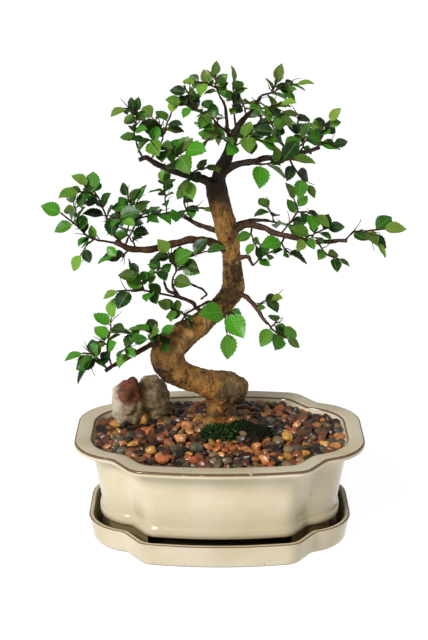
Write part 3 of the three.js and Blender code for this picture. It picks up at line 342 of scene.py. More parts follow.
# Leafy sprays as (typical leaf length, route of the stem, leaves on it, side shoots), a side
# shoot as (where along the stem, tip, leaves).
SPRAYS = {
    "top_left_tip": (
        9, [(-51, -25, 278), (-54, -26, 284), (-56, -27, 293), (-55, -27, 302), (-54, -28, 309)],
        6, [(0.95, (-62, -32, 311), 2)],
    ),
    "top_left_outer": (
        12, [(-46, -22, 276), (-39, -25, 286), (-36, -22, 296), (-32, -19, 306)],
        4, [(0.3, (-49, -34, 291), 3), (0.55, (-45, -14, 302), 3)],
    ),
    "top_left_big": (
        14, [(-35, -14, 268), (-30, -24, 277), (-22, -32, 284)],
        4, [(0.4, (-38, -32, 286), 3)],
    ),
    "top_left_inner": (
        10, [(-22, -7, 261), (-15, -16, 267), (-8, -22, 270)],
        4, [(0.3, (-24, -14, 255), 3)],
    ),
    "apex": (
        9, [(2, -3, 310), (-1, -5, 316), (-3, -6, 322), (-3, -7, 329)],
        6, [(0.55, (-17, -12, 325), 4)],
    ),
    "crown_right": (9, [(11, 6, 289), (9, 7, 302), (9, 5, 311), (9, 4, 322)], 6, []),
    "crown_left": (
        11, [(7, 2, 286), (-5, -8, 300), (-15, -16, 307), (-26, -20, 313)],
        5, [(0.72, (-24, -14, 323), 3)],
    ),
    "crown_front": (
        13, [(8, 1, 279), (1, -14, 289), (-5, -26, 300)],
        3, [(0.5, (-11, -24, 287), 3)],
    ),
    "crown_low": (12, [(7, 2, 275), (15, -14, 286), (21, -24, 295)], 4, [(0.6, (28, -22, 287), 2)]),
    "leader_tip": (11, [(28, 17, 310), (35, 16, 313), (38, 14, 322)], 4, [(0.5, (52, 10, 320), 4)]),
    "leader_right": (
        11, [(22, 13, 302), (31, 2, 305), (41, -6, 310)],
        5, [(0.6, (41, -8, 302), 3)],
    ),
    "leader_back": (
        11, [(18, 12, 298), (16, 34, 302), (14, 54, 306)],
        5, [(0.5, (29, 48, 300), 3)],
    ),
    "leader_back_left": (
        11, [(10, 5, 288), (0, 28, 287), (-13, 50, 287)],
        4, [(0.5, (-6, 40, 298), 3)],
    ),
    "top_right_front": (14, [(17, -9, 270), (28, -22, 272), (37, -30, 275), (46, -34, 278)], 5, []),
    "top_right_droop": (11, [(45, -19, 278), (50, -22, 268), (58, -24, 258)], 4, []),
    "top_right_mid": (11, [(40, -18, 276), (42, -20, 284), (37, -20, 292), (33, -16, 299)], 6, []),
    "top_right_tip": (
        11, [(64, -15, 282), (67, -18, 289), (72, -20, 301)],
        5, [(0.3, (79, -22, 282), 3)],
    ),
    "top_right_out": (
        10, [(54, -18, 279), (56, -8, 283), (62, -2, 290)],
        4, [(0.4, (54, 2, 290), 3)],
    ),
    "back_right_tip": (
        11, [(49, 38, 287), (58, 46, 284), (67, 54, 280)],
        5, [(0.3, (55, 52, 292), 3)],
    ),
    "back_right_mid": (11, [(26, 22, 290), (29, 42, 292), (33, 62, 293)], 5, []),
    "mid_left_up": (
        12, [(-65, -18, 215), (-73, -21, 226), (-77, -20, 238), (-81, -20, 249), (-88, -20, 258)],
        5, [(0.42, (-63, -38, 238), 3), (0.75, (-94, -28, 255), 3)],
    ),
    "mid_left_tip": (
        11, [(-70, -19, 217), (-82, -22, 220), (-89, -23, 223), (-95, -24, 230), (-106, -26, 240)],
        5, [(0.35, (-94, -24, 210), 3), (0.72, (-98, -18, 245), 3)],
    ),
    "mid_left_right": (
        11, [(-65, -18, 214), (-60, -26, 225), (-55, -24, 235), (-46, -14, 236), (-35, -6, 234)],
        5, [(0.45, (-62, -18, 250), 4)],
    ),
    "mid_left_back": (
        11, [(-56, -16, 212), (-61, 4, 213), (-67, 24, 215), (-77, 42, 216)],
        4, [(0.55, (-57, 22, 237), 4)],
    ),
    "mid_left_low": (11, [(-61, -17, 213), (-65, -22, 209), (-73, -26, 209)], 4, []),
    "upper_left_tip": (
        10, [(-33, 39, 224), (-43, 48, 220), (-53, 56, 221)],
        4, [(0.25, (-40, 42, 247), 5)],
    ),
    "upper_left_mid": (
        9, [(-19, 30, 219), (-24, 26, 230), (-26, 22, 243)],
        4, [(0.42, (-11, 21, 231), 3)],
    ),
    "lower_left_long": (
        12, [(-26, -8, 175), (-41, -17, 181), (-54, -24, 186), (-70, -28, 186)],
        5, [(0.6, (-58, -28, 202), 4)],
    ),
    "lower_left_up": (
        13, [(-30, -10, 178), (-33, -14, 188), (-29, -18, 200), (-20, -22, 209), (-9, -28, 214)],
        5, [(0.45, (-35, -22, 212), 3)],
    ),
    "lower_left_twig": (10, [(-38, -14, 188), (-40, -16, 199), (-45, -24, 197)], 4, []),
    "low_left_tip": (
        12, [(-78, -24, 128), (-82, -28, 136), (-87, -30, 142), (-94, -32, 143)],
        5, [(0.4, (-90, -34, 134), 2)],
    ),
    "low_left_up": (
        12, [(-75, -22, 129), (-78, -24, 144), (-75, -24, 156), (-74, -25, 166)],
        4, [(0.4, (-85, -20, 147), 3)],
    ),
    "low_left_mid": (10, [(-62, -17, 134), (-65, -27, 144), (-58, -32, 152)], 5, []),
    "knee": (11, [(-35, -4, 144), (-41, -16, 150), (-51, -22, 156)], 5, []),
    "elbow": (9, [(-20, 1, 154), (-26, -10, 165), (-34, -14, 170)], 5, []),
    "right_tip": (
        12, [(85, -16, 218), (90, -18, 225), (99, -20, 226), (110, -22, 228)],
        5, [(0.5, (105, -26, 219), 3)],
    ),
    "right_mid": (
        11, [(61, -12, 216), (64, -12, 222), (73, -12, 226)],
        5, [(0.4, (56, -26, 221), 3)],
    ),
    "right_up": (
        10, [(41, -7, 220), (49, -10, 231), (53, -11, 238), (50, -12, 246)],
        4, [(0.6, (64, -18, 236), 4)],
    ),
    "right_hang": (13, [(43, -8, 219), (42, -18, 215), (48, -24, 210)], 5, []),
    "right_low": (10, [(65, -12, 216), (72, -18, 209), (81, -20, 206)], 4, []),
    "right_inner": (9, [(21, 4, 223), (22, -4, 217), (25, -8, 211)], 4, []),
    "back_right": (11, [(33, 52, 215), (44, 62, 210), (54, 70, 206)], 4, [(0.3, (35, 64, 221), 3)]),
    "right_low_tip": (
        12, [(32, -9, 158), (38, -13, 152), (47, -16, 148)],
        5, [(0.3, (42, -4, 156), 3)],
    ),
    "right_low_up": (10, [(25, -3, 167), (30, -10, 173), (36, -14, 177)], 4, []),
    "front": (
        17, [(1, 4, 167), (3, -14, 166), (4, -19, 161), (5, -22, 154)],
        4, [(0.35, (12, -20, 166), 2)],
    ),
    "stub": (9, [(22, 0, 196), (29, -5, 204), (36, -9, 209)], 4, []),
}

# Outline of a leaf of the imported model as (share of its length, share of its half width), and
# how its leaves are made and placed.
LEAF_OUTLINE = [
    (0, 0), (0.33, 1), (0.46, 0.78), (0.63, 0.84), (1, 0), (0.6, -0.86), (0.42, -0.78), (0.3, -1),
]
LEAF_WIDTH_SHARE = 0.35
LEAF_WIDEST = 0.42
LEAF_SCALE = 1.15
LEAF_START = 0.3
LEAF_RUN = 0.68
LEAF_BEND = 0.14
LEAF_FOLD = 0.14
LEAF_THICKNESS = 1.2
END_LEAF_SINK = 1.2
LEAF_CLEARANCE = 0.75
LEAF_TRIES = 3
LEAF_SEEDS = (7919, 104729)
STEM_RADII = (1.1, 0.8)
SHOOT_RADII = (0.9, 0.7)

# Leaves that are added here: most in the crown and on the left, each round smaller.
EXTRA_CLEARANCE = 0.05
EXTRA_TRIES = 14
EXTRA_SEEDS = (15485863, 32452843)
EXTRA_ROUNDS = 3
EXTRA_SIZE = 0.92
EXTRA_SHRINK = 0.1
EXTRA_LEVEL = 0.6
CROWN_START = 262
LEFT_SIDE = -40
RIGHT_SIDE = 15
LEAF_TONE_SEED = 21

# Blades, stalks and twigs of the finer leaves, and the reach of a half blade in its map.
LEAF_TEETH = 7
TOOTH_LEAN = 0.86
TOOTH_LIFT = 0.1
NOTCH_WIDTH = 0.87
END_WIDTH = 0.03
BLADE_START = 0.1
BLADE_FULLNESS = 1.06
BLADE_FOLD = 0.14
BLADE_WAVE = 0.07
BLADE_TWIST = 0.1
BLADE_THICKNESS = 0.45
MIDRIB_SINK = 0.12
MAP_REACH = 0.42
STALK_SIDES = 4
STALK_RADII = (0.42, 0.3)
STEM_SLIM = 0.72
STEM_KINK = 0.45
BARE_TWIGS = 2
TWIG_STEPS = 3

# Seeded draws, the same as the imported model's.
DICE_RANGE = 2 ** 32
DICE_FACTOR = 1664525
DICE_STEP = 1013904223


def colour(code):
    """Linear colour with alpha of a #rrggbb colour."""
    channels = [int(code[i:i + 2], 16) / 255 for i in (1, 3, 5)]
    linear = [c / 12.92 if c <= 0.04045 else ((c + 0.055) / 1.055) ** 2.4 for c in channels]
    return (*linear, 1.0)


class Level:
    """Output socket of a material's node, written in sums like a number."""

    def __init__(self, finish, socket):
        self.finish = finish
        self.socket = socket

    def sum(self, operation, *terms):
        return self.finish.node(
            "ShaderNodeMath", {"operation": operation}, dict(enumerate(terms)),
        )

    def __add__(self, other):
        return self.sum("ADD", self, other)

    def __sub__(self, other):
        return self.sum("SUBTRACT", self, other)

    def __rsub__(self, other):
        return self.sum("SUBTRACT", other, self)

    def __mul__(self, other):
        return self.sum("MULTIPLY", self, other)

    __radd__ = __add__
    __rmul__ = __mul__

    def __abs__(self):
        return self.sum("ABSOLUTE", self)

    def ping_pong(self, scale):
        return self.sum("PINGPONG", self, scale)

    def step(self, low, high):
        """Smooth step from 0 at low to 1 at high; low above high turns it round."""
        return self.finish.node(
            "ShaderNodeMapRange",
            {"interpolation_type": "SMOOTHSTEP", "clamp": True},
            {"Value": self, "From Min": low, "From Max": high, "To Min": 0.0, "To Max": 1.0},
        )


class Finish:
    """One material: its Principled shader and the nodes that feed it."""

    def __init__(self, name, **constants):
        self.material = bpy.data.materials.new(name)
        self.material.use_nodes = True
        self.tree = self.material.node_tree
        self.shader = self.tree.nodes["Principled BSDF"]
        self.set(**constants)

    def set(self, **values):
        """Values or links of the shader's sockets, named in lower case with underscores."""
        for key, value in values.items():
            self.feed(self.shader.inputs[key.replace("_", " ").title().replace("Ior", "IOR")], value)

    def feed(self, socket, value):
        if isinstance(value, Level):
            self.tree.links.new(value.socket, socket)
        else:
            socket.default_value = value

    def node(self, kind, settings=None, sockets=None, output=0):
        """Adds a node, sets it and then its sockets, and returns one of its outputs."""
        made = self.tree.nodes.new(kind)
        for key, value in (settings or {}).items():
            if key == "stops":
                self.set_stops(made.color_ramp, value)
            elif key == "interpolation":
                made.color_ramp.interpolation = value
            else:
                setattr(made, key, value)
        for key, value in (sockets or {}).items():
            self.feed(made.inputs[key], value)
        return Level(self, made.outputs[output])

    @staticmethod
    def set_stops(ramp, stops):
        while len(ramp.elements) < len(stops):
            ramp.elements.new(1.0)
        for element, (position, shade) in zip(ramp.elements, stops):
            element.position = position
            element.color = shade

    def place(self):
        return self.node("ShaderNodeTexCoord", output="Object")

    def uv(self):
        return self.node("ShaderNodeTexCoord", output="UV")

    def axes(self, place):
        node = self.node("ShaderNodeSeparateXYZ", sockets={0: place}).socket.node
        return [Level(self, output) for output in node.outputs]

    def near(self, place, point, radius):
        """1 at a point given in millimetres, 0 from a radius on."""
        away = self.node(
            "ShaderNodeVectorMath", {"operation": "DISTANCE"},
            {0: place, 1: [c * MM for c in point]}, "Value",
        )
        return away.step(radius * MM, radius * MM * 0.3)

    def trait(self, name):
        return self.node("ShaderNodeAttribute", {"attribute_name": name}, output="Fac")

    def stretched(self, place, stretch):
        return self.node(
            "ShaderNodeVectorMath", {"operation": "MULTIPLY"}, {0: place, 1: stretch},
        )

    def noise(self, place, scale, detail=3.0, roughness=0.55, output="Fac"):
        return self.node(
            "ShaderNodeTexNoise",
            sockets={
                "Vector": place, "Scale": scale, "Detail": detail, "Roughness": roughness,
            },
            output=output,
        )

    def cells(self, place, scale, feature="F1", output="Distance"):
        return self.node(
            "ShaderNodeTexVoronoi", {"feature": feature},
            {"Vector": place, "Scale": scale}, output,
        )

    def ramp(self, level, stops, interpolation):
        return self.node(
            "ShaderNodeValToRGB", {"interpolation": interpolation, "stops": stops}, {0: level},
        )

    def mix(self, share, first, second, mode="MIX"):
        return self.node(
            "ShaderNodeMix", {"data_type": "RGBA", "blend_type": mode, "clamp_factor": True},
            {0: share, 6: first, 7: second}, 2,
        )

    def bump(self, height, strength, distance):
        return self.node(
            "ShaderNodeBump",
            sockets={"Strength": strength, "Distance": distance, "Height": height},
            output="Normal",
        )


def deselect():
    bpy.ops.object.select_all(action="DESELECT")


def activate(thing):
    deselect()
    thing.select_set(True)
    bpy.context.view_layer.objects.active = thing


def apply_modifiers(thing):
    activate(thing)
    for modifier in list(thing.modifiers):
        bpy.ops.object.modifier_apply(modifier=modifier.name)


def settle(thing):
    """Puts the object's place, turn and size into its mesh."""
    activate(thing)
    bpy.ops.object.transform_apply(location=True, rotation=True, scale=True)


def clean(thing, merge=1e-6):
    """Merges doubles and turns the faces outwards."""
    activate(thing)
    bpy.ops.object.mode_set(mode="EDIT")
    bpy.ops.mesh.select_all(action="SELECT")
    bpy.ops.mesh.remove_doubles(threshold=merge)
    bpy.ops.mesh.normals_make_consistent(inside=False)
    bpy.ops.object.mode_set(mode="OBJECT")


def join(things, name):
    activate(things[0])
    for thing in things:
        thing.select_set(True)
    bpy.ops.object.join()
    things[0].name = things[0].data.name = name
    return things[0]


def smooth(thing, degrees):
    activate(thing)
    bpy.ops.object.shade_smooth_by_angle(angle=math.radians(degrees))


def corners_of(thing):
    flat = np.empty(len(thing.data.vertices) * 3)
    thing.data.vertices.foreach_get("co", flat)
    return flat.reshape(-1, 3)


def normals_of(thing):
    flat = np.empty(len(thing.data.vertices) * 3)
    thing.data.vertex_normals.foreach_get("vector", flat)
    return flat.reshape(-1, 3)


def set_corners(thing, corners):
    thing.data.vertices.foreach_set("co", np.asarray(corners, float).ravel())
    thing.data.update()


def finish_piece(thing, node, finish):
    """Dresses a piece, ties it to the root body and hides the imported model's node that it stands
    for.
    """
    thing.data.materials.clear()
    thing.data.materials.append(finish.material)
    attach(thing, "root")
    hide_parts(node)


# Lobed ceramics.

def arc(centre, radius, start, end, steps):
    angles = [math.radians(start + (end - start) * i / steps) for i in range(steps + 1)]
    return [(centre[0] + radius * math.cos(a), centre[1] + radius * math.sin(a)) for a in angles]


def lobed_outline():
    """Closed line of two long lobes and two end lobes, with sloping notches between them."""
    end_turn, notch_turn = math.radians(END_LOBE_TURN), math.radians(NOTCH_TURN)
    end_x = RIM_HALF_LENGTH - END_LOBE_CORNER
    long_y = RIM_HALF_DEPTH - LONG_LOBE_CORNER
    end_reach = END_LOBE_CORNER + NOTCH_RADIUS
    long_reach = LONG_LOBE_CORNER + NOTCH_RADIUS
    notch_x = end_x + end_reach * math.cos(end_turn)
    slope_run = notch_x - LONG_LOBE_FLAT - long_reach * math.cos(notch_turn)
    notch_y = long_y + long_reach * math.sin(notch_turn) - slope_run / math.tan(notch_turn)
    end_y = notch_y - end_reach * math.sin(end_turn)
    quarter = [(RIM_HALF_LENGTH, end_y * i / STRAIGHT_STEPS) for i in range(STRAIGHT_STEPS)]
    quarter += arc((end_x, end_y), END_LOBE_CORNER, 0, END_LOBE_TURN, ARC_STEPS)
    quarter += arc(
        (notch_x, notch_y), NOTCH_RADIUS, 180 + END_LOBE_TURN, 180 + NOTCH_TURN, NOTCH_STEPS,
    )[1:]
    quarter += arc((LONG_LOBE_FLAT, long_y), LONG_LOBE_CORNER, NOTCH_TURN, 90, NOTCH_STEPS)
    for i in range(1, STRAIGHT_STEPS + 1):
        share = 1 - i / STRAIGHT_STEPS
        quarter.append((LONG_LOBE_FLAT * share, RIM_HALF_DEPTH + RIM_BOW * (1 - share ** 2)))
    half = quarter + [(-x, y) for x, y in reversed(quarter[:-1])]
    return half + [(-x, -y) for x, y in half[1:-1]]


def lobed_body(name, rows, half_length=RIM_HALF_LENGTH, half_depth=RIM_HALF_DEPTH):
    """Body whose rings follow the lobed outline, pulled up ring by ring from a flat one."""
    outline = lobed_outline()
    deselect()
    bpy.ops.mesh.primitive_circle_add(vertices=len(outline), radius=1, fill_type="NGON")
    body = bpy.context.object
    body.name = body.data.name = name

    def stretch(row):
        return (
            (half_length - row[0]) / RIM_HALF_LENGTH, (half_depth - row[1]) / RIM_HALF_DEPTH,
        )

    wide, deep = stretch(rows[0])
    set_corners(body, [(x * wide * MM, y * deep * MM, rows[0][2] * MM) for x, y in outline])
    bpy.ops.object.mode_set(mode="EDIT")
    bpy.ops.mesh.select_all(action="SELECT")
    for row, above in zip(rows, rows[1:]):
        rise = (above[2] - row[2]) * MM
        bpy.ops.mesh.extrude_region_move(TRANSFORM_OT_translate={"value": (0, 0, rise)})
        (wide, deep), (next_wide, next_deep) = stretch(row), stretch(above)
        bpy.ops.transform.resize(
            value=(next_wide / wide, next_deep / deep, 1), center_override=(0, 0, above[2] * MM),
        )
    bpy.ops.object.mode_set(mode="OBJECT")
    clean(body)
    return body


def give_trait(thing, name, values):
    trait = thing.data.attributes.new(name, "FLOAT", "POINT")
    trait.data.foreach_set("value", np.asarray(values, float))


def mark_rows(thing, name, rows):
    """Gives a trait to whole rows of a lobed body: height of the row to share."""
    heights = corners_of(thing)[:, 2] / MM
    shares = np.zeros(len(heights))
    for height, share in rows.items():
        shares[np.abs(heights - height) < ROW_MATCH] = share
    give_trait(thing, name, shares)


def combine(thing, other, operation):
    """Joins or cuts a body with another one, which is used up."""
    modifier = thing.modifiers.new("Combine", "BOOLEAN")
    modifier.operation = operation
    modifier.solver = "EXACT"
    modifier.object = other
    apply_modifiers(thing)
    bpy.data.objects.remove(other)


def cut_away(thing, point, direction):
    """Cuts off what lies behind a plane and closes the cut."""
    activate(thing)
    bpy.ops.object.mode_set(mode="EDIT")
    bpy.ops.mesh.select_all(action="SELECT")
    bpy.ops.mesh.bisect(
        plane_co=[c * MM for c in point], plane_no=direction, use_fill=True, clear_inner=True,
    )
    bpy.ops.object.mode_set(mode="OBJECT")


def pot_feet():
    """Four feet: the corners of a lobed ring."""
    foot = lobed_body("feet", FOOT_ROWS)
    combine(foot, lobed_body("hollow", FOOT_HOLLOW_ROWS), "DIFFERENCE")
    cut_away(foot, (FOOT_START[0], 0, 0), (1, 0, 0))
    cut_away(foot, (0, FOOT_START[1], 0), (0, 1, 0))
    mirror = foot.modifiers.new("Four feet", "MIRROR")
    mirror.use_axis = (True, True, False)
    apply_modifiers(foot)
    clean(foot)
    return foot


def drill(side):
    deselect()
    bpy.ops.mesh.primitive_cylinder_add(
        vertices=DRILL_SIDES, radius=DRAIN_RADIUS * MM, depth=DRILL_LENGTH * MM,
        location=(side * DRAIN_X * MM, 0, DRILL_HEIGHT * MM),
    )
    return bpy.context.object


def glaze_finish(settings):
    """Cream glaze, thin and brown along the edges, with painted shade low down, under the pot and
    inside the tray.
    """
    glaze = Finish("cream_glaze", coat_weight=0.22, coat_roughness=0.27, ior=1.5)
    place = glaze.place()
    _, _, height = glaze.axes(place)
    pooled = glaze.noise(place, 22, 3)
    body = glaze.mix(pooled.step(0.35, 0.7), settings.glaze, settings.pooled_glaze)
    fine = glaze.noise(place, 520, 2)
    body = glaze.mix(fine.step(0.45, 0.75) * 0.25, body, settings.pooled_glaze)
    specks = glaze.noise(place, 700, 1, 0.3).step(0.735, 0.77)
    few = glaze.noise(place, 90, 1).step(0.45, 0.6)
    body = glaze.mix(specks * few * settings.specks, body, settings.edge)
    worn = glaze.trait("worn") * glaze.noise(place, 160, 3).step(0.1, 0.45)
    body = glaze.mix(worn.step(0.25, 0.8) * 0.92, body, settings.edge)
    # Painted shade: the walls darken towards the bottom, more on the pot than on the tray.
    foot = (height + 0.012 * (pooled - 0.5)).step(0.05, 0.018)
    on_pot = height.step(0.0175, 0.0195)
    body = glaze.mix(foot * (on_pot * 0.3 + 0.12), body, colour("#7D6B4C"))
    # Painted shade on the rows under the pot, on its feet and deep inside the tray.
    body = glaze.mix(glaze.trait("damp") * 0.88, body, colour("#5E4B26"))
    rough = glaze.noise(place, 60, 2) * 0.12 + 0.1
    waves = glaze.noise(place, 45, 2) + 0.06 * fine
    glaze.set(base_color=body, roughness=rough, normal=glaze.bump(waves, 0.25, 0.0006))
    return glaze


# Gravel.

def mouth_distance(points):
    """Signed distance of points from the edge of the pot's mouth, below 0 inside."""
    stretch = (1 - MOUTH_INSETS[0] / RIM_HALF_LENGTH, 1 - MOUTH_INSETS[1] / RIM_HALF_DEPTH)
    start = np.array(lobed_outline()) * stretch
    side = np.roll(start, -1, axis=0) - start
    away = points[:, None] - start
    share = np.clip((away * side).sum(axis=2) / (side ** 2).sum(axis=1), 0, 1)
    distance = np.linalg.norm(away - share[..., None] * side, axis=2)
    nearest = distance.argmin(axis=1)
    rows = np.arange(len(points))
    beside = side[nearest, 0] * away[rows, nearest, 1] - side[nearest, 1] * away[rows, nearest, 0]
    return np.where(beside > 0, -1, 1) * distance[rows, nearest]


def mouth_slope(points):
    """Direction in which the distance from the mouth's edge grows."""
    step = 0.1
    return np.stack([
        mouth_distance(points + (step, 0)) - mouth_distance(points - (step, 0)),
        mouth_distance(points + (0, step)) - mouth_distance(points - (0, step)),
    ], axis=1) / (2 * step)


def ground_height(x, y):
    """Height of the gravel's top, which falls off from a crest by the trunk."""
    away = np.hypot((x - CREST_PLACE[0]) / CREST_REACH[0], (y - CREST_PLACE[1]) / CREST_REACH[1])
    return CREST_TOP - CREST_FALL * np.minimum(1, away)


def ovals_to_avoid():
    """Ovals around trunk, rock, moss and large pebbles as (x, y, half width, half depth)."""
    trunk_x, trunk_y, radius = TRUNK_FOOT
    return [
        *ROCK_FEET, (trunk_x, trunk_y, radius, radius),
        *[(*centre[:2], half[0] * 0.8, half[1] * 0.8) for centre, half in MOSS_PATCHES],
        *[(x, y, wide * 0.75, wide * 0.7) for x, y, wide, _, _ in SHOW_PEBBLES],
    ]


def scatter(radii, seed):
    """Places for pebbles in the mouth, pushed apart and off all that stands in it."""
    count = len(radii)
    draw = np.random.default_rng(seed)
    width, depth = PEBBLE_FIELD
    points = draw.uniform([-width, -depth], [width, depth], (count, 2))
    ovals = ovals_to_avoid()
    for _ in range(PEBBLE_ROUNDS):
        gap = points[:, None] - points[None]
        length = np.linalg.norm(gap, axis=2) + np.eye(count)
        wanted = PEBBLE_SPACING * (radii[:, None] + radii[None])
        push = np.maximum(0, wanted - length) * (1 - np.eye(count))
        points = points + PEBBLE_PUSH * (gap / length[..., None] * push[..., None]).sum(axis=1)
        for x, y, half_x, half_y in ovals:
            away = (points - (x, y)) / (half_x, half_y)
            far = np.linalg.norm(away, axis=1, keepdims=True) + 1e-6
            points = np.where(far < 1, (x, y) + away / far * (half_x, half_y), points)
        beyond = np.maximum(0, mouth_distance(points) + RIM_SPACING * radii)
        points = points - mouth_slope(points) * beyond[:, None]
    return points


class Heap:
    """Corners, faces, map places and traits of many small copies, made one mesh at the end."""

    def __init__(self):
        self.corners = []
        self.faces = []
        self.map = []
        self.traits = {}
        self.count = 0

    def add(self, corners, faces, places=(), **traits):
        corners = np.asarray(corners, float)
        self.corners.append(corners)
        self.faces += [[i + self.count for i in face] for face in faces]
        for face_places in places:
            self.map += face_places
        for name, value in traits.items():
            self.traits.setdefault(name, []).append(np.full(len(corners), value, float))
        self.count += len(corners)

    def piece(self, name):
        mesh = bpy.data.meshes.new(name)
        mesh.from_pydata((np.concatenate(self.corners) * MM).tolist(), [], self.faces)
        piece = bpy.data.objects.new(name, mesh)
        bpy.context.scene.collection.objects.link(piece)
        if self.map:
            layer = mesh.uv_layers.new(name="UVMap")
            layer.data.foreach_set("uv", np.asarray(self.map, float).ravel())
        for trait, values in self.traits.items():
            give_trait(piece, trait, np.concatenate(values))
        return piece


def pebble_shapes(count, seed):
    """Unit pebbles: a subdivided cube cast to a ball and ground flat on some sides."""
    deselect()
    bpy.ops.mesh.primitive_cube_add(size=2)
    block = bpy.context.object
    bpy.ops.object.mode_set(mode="EDIT")
    bpy.ops.mesh.select_all(action="SELECT")
    bpy.ops.mesh.subdivide(number_cuts=2)
    bpy.ops.object.mode_set(mode="OBJECT")
    cast = block.modifiers.new("Round", "CAST")
    cast.factor = 1
    cast.radius = 1
    cast.use_radius_as_size = True
    apply_modifiers(block)
    ball = corners_of(block)
    ball = ball / np.linalg.norm(ball, axis=1, keepdims=True)
    faces = [list(face.vertices) for face in block.data.polygons]
    bpy.data.objects.remove(block)
    draw = np.random.default_rng(seed)
    shapes = []
    for _ in range(count):
        shape = ball * (1 + PEBBLE_LUMPS * draw.standard_normal((len(ball), 1)))
        for _ in range(PEBBLE_FLATS):
            direction = draw.standard_normal(3)
            direction = direction / np.linalg.norm(direction)
            beyond = np.maximum(0, shape @ direction - draw.uniform(*FLAT_DEPTHS))
            shape = shape - FLATNESS * beyond[:, None] * direction
        shapes.append(shape)
    return shapes, faces


def turned(shape, draw, tilt):
    """Shape turned about the upright at random and tilted a little."""
    turn = Matrix.Rotation(draw.uniform(0, 2 * math.pi), 3, "Z")
    lean = Matrix.Rotation(draw.uniform(-tilt, tilt), 3, "X")
    other = Matrix.Rotation(draw.uniform(-tilt, tilt), 3, "Y")
    return shape @ np.array(turn @ lean @ other).T


def in_painted_shadow(x, y):
    middle, half = PAINTED_SHADOW_OVAL
    return ((x - middle[0]) / half[0]) ** 2 + ((y - middle[1]) / half[1]) ** 2 < 1


def gravel_pebbles(settings):
    """Two layers of loose pebbles and the large ones on top."""
    draw = np.random.default_rng(settings.seed)
    shapes, faces = pebble_shapes(PEBBLE_KINDS, settings.seed + 1)
    heap = Heap()
    for divisor, sink, seed in PEBBLE_LAYERS:
        count = settings.pebbles // divisor
        radii = settings.pebble_size / MM / 2 * draw.uniform(*PEBBLE_SPREAD, count)
        for (x, y), radius in zip(scatter(radii, seed), radii):
            ranges = (PEBBLE_LENGTHS, PEBBLE_WIDTHS, PEBBLE_HEIGHTS)
            stretch = radius * np.array([draw.uniform(*limits) for limits in ranges])
            corners = turned(shapes[draw.integers(len(shapes))] * stretch, draw, PEBBLE_TILT)
            z = ground_height(x, y) - sink + draw.uniform(-PEBBLE_RISE, PEBBLE_RISE)
            shade = draw.uniform(0, 1)
            # Beside the moss the pebbles are darkened as a painted shadow.
            if in_painted_shadow(x, y):
                shade = PAINTED_SHADOW_SHADE
            heap.add(corners + (x, y, z), faces, tone=draw.uniform(0, 1), shade=shade)
    for x, y, wide, tall, tone in SHOW_PEBBLES:
        stretch = (wide / 2, wide * SHOW_DEPTH_SHARE / 2, tall / 2)
        corners = turned(shapes[draw.integers(len(shapes))] * stretch, draw, SHOW_TILT)
        z = ground_height(x, y) + SHOW_RISE * tall
        heap.add(corners + (x, y, z), faces, tone=tone, shade=SHOW_SHADE)
    pebbles = heap.piece("gravel_pebbles")
    smooth(pebbles, 34)
    return pebbles


def pebble_finish(settings):
    """Wet stone in twelve colours: a pebble's tone picks one, and its shade darkens it, at random,
    and beside the moss as a painted shadow.
    """
    stone = Finish("wet_pebbles", coat_weight=0.3, coat_roughness=0.3)
    place = stone.place()
    tone = stone.trait("tone")
    shades = [
        "#B8683A", "#8E4826", "#5A3824", "#211A15", "#704C30", "#806A4C", "#C8854C", "#6E402A",
        "#5A5543", "#A06436", "#301E15", "#CE9846",
    ]
    stops = [(i / len(shades), colour(shade)) for i, shade in enumerate(shades)]
    body = stone.ramp(tone, stops, "CONSTANT")
    body = stone.mix(stone.trait("shade") * 0.62, body, colour("#1C130D"))
    mottle = stone.noise(place, 420, 4, 0.65)
    body = stone.mix(mottle.step(0.5, 0.75) * 0.55, body, colour("#DDB888"), "OVERLAY")
    body = stone.mix(mottle.step(0.52, 0.3) * 0.7, body, colour("#3A2A1E"), "MULTIPLY")
    rough = mottle * 0.35 + (0.28 - 0.2 * settings.wetness)
    pits = stone.noise(place, 900, 3, 0.6)
    stone.set(base_color=body, roughness=rough, normal=stone.bump(pits, 0.5, 0.0005))
    return stone


def grit_finish(name, dark, light, scale):
    """Loose grains of two colours, darkened towards each grain's edge as painted shade between the
    grains.
    """
    grit = Finish(name)
    place = grit.place()
    grains = grit.cells(place, scale)
    body = grit.mix(grit.noise(place, scale * 0.7, 3).step(0.35, 0.7), dark, light)
    grit.set(
        # Painted shade between the grains.
        base_color=grit.mix(grains.step(0.1, 0.6) * 0.6, body, dark), roughness=0.9,
        normal=grit.bump(1 - grains, 0.8, 0.001),
    )
    return grit


# Rock and moss.

def remeshed(thing, size, smoothing):
    """Even mesh over a body, with its ridges softened."""
    remesh = thing.modifiers.new("Even", "REMESH")
    remesh.mode = "VOXEL"
    remesh.voxel_size = size * MM
    ease = thing.modifiers.new("Ease", "SMOOTH")
    ease.factor = 0.5
    ease.iterations = smoothing
    apply_modifiers(thing)


def push_out(thing, amount):
    """Moves each corner along its normal by amount(place), all in millimetres."""
    corners = corners_of(thing)
    shifts = np.array([amount(Vector(corner) / MM) for corner in corners])
    set_corners(thing, corners + normals_of(thing) * shifts[:, None] * MM)


def rock_body():
    """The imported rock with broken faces, ridges and pits where it stands out of the soil."""
    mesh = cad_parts["rock"].data.copy()
    rock = bpy.data.objects.new("rock_weathered", mesh)
    bpy.context.scene.collection.objects.link(rock)
    clean(rock, 1e-5)
    remeshed(rock, 0.9, 6)

    def relief(place):
        if place.z < BED_UNDERSIDE + 1:
            return 0
        lumps = noise.noise(place * 0.09 + Vector((3, 1, 7)))
        broken = noise.voronoi(place * 0.11)[0]
        grain = noise.fractal(place * 0.35, 1, 2, 4)
        return 1.4 * lumps + 2.2 * (broken[1] - broken[0]) - 0.2 + 0.5 * grain

    push_out(rock, relief)
    smooth(rock, 50)
    return rock


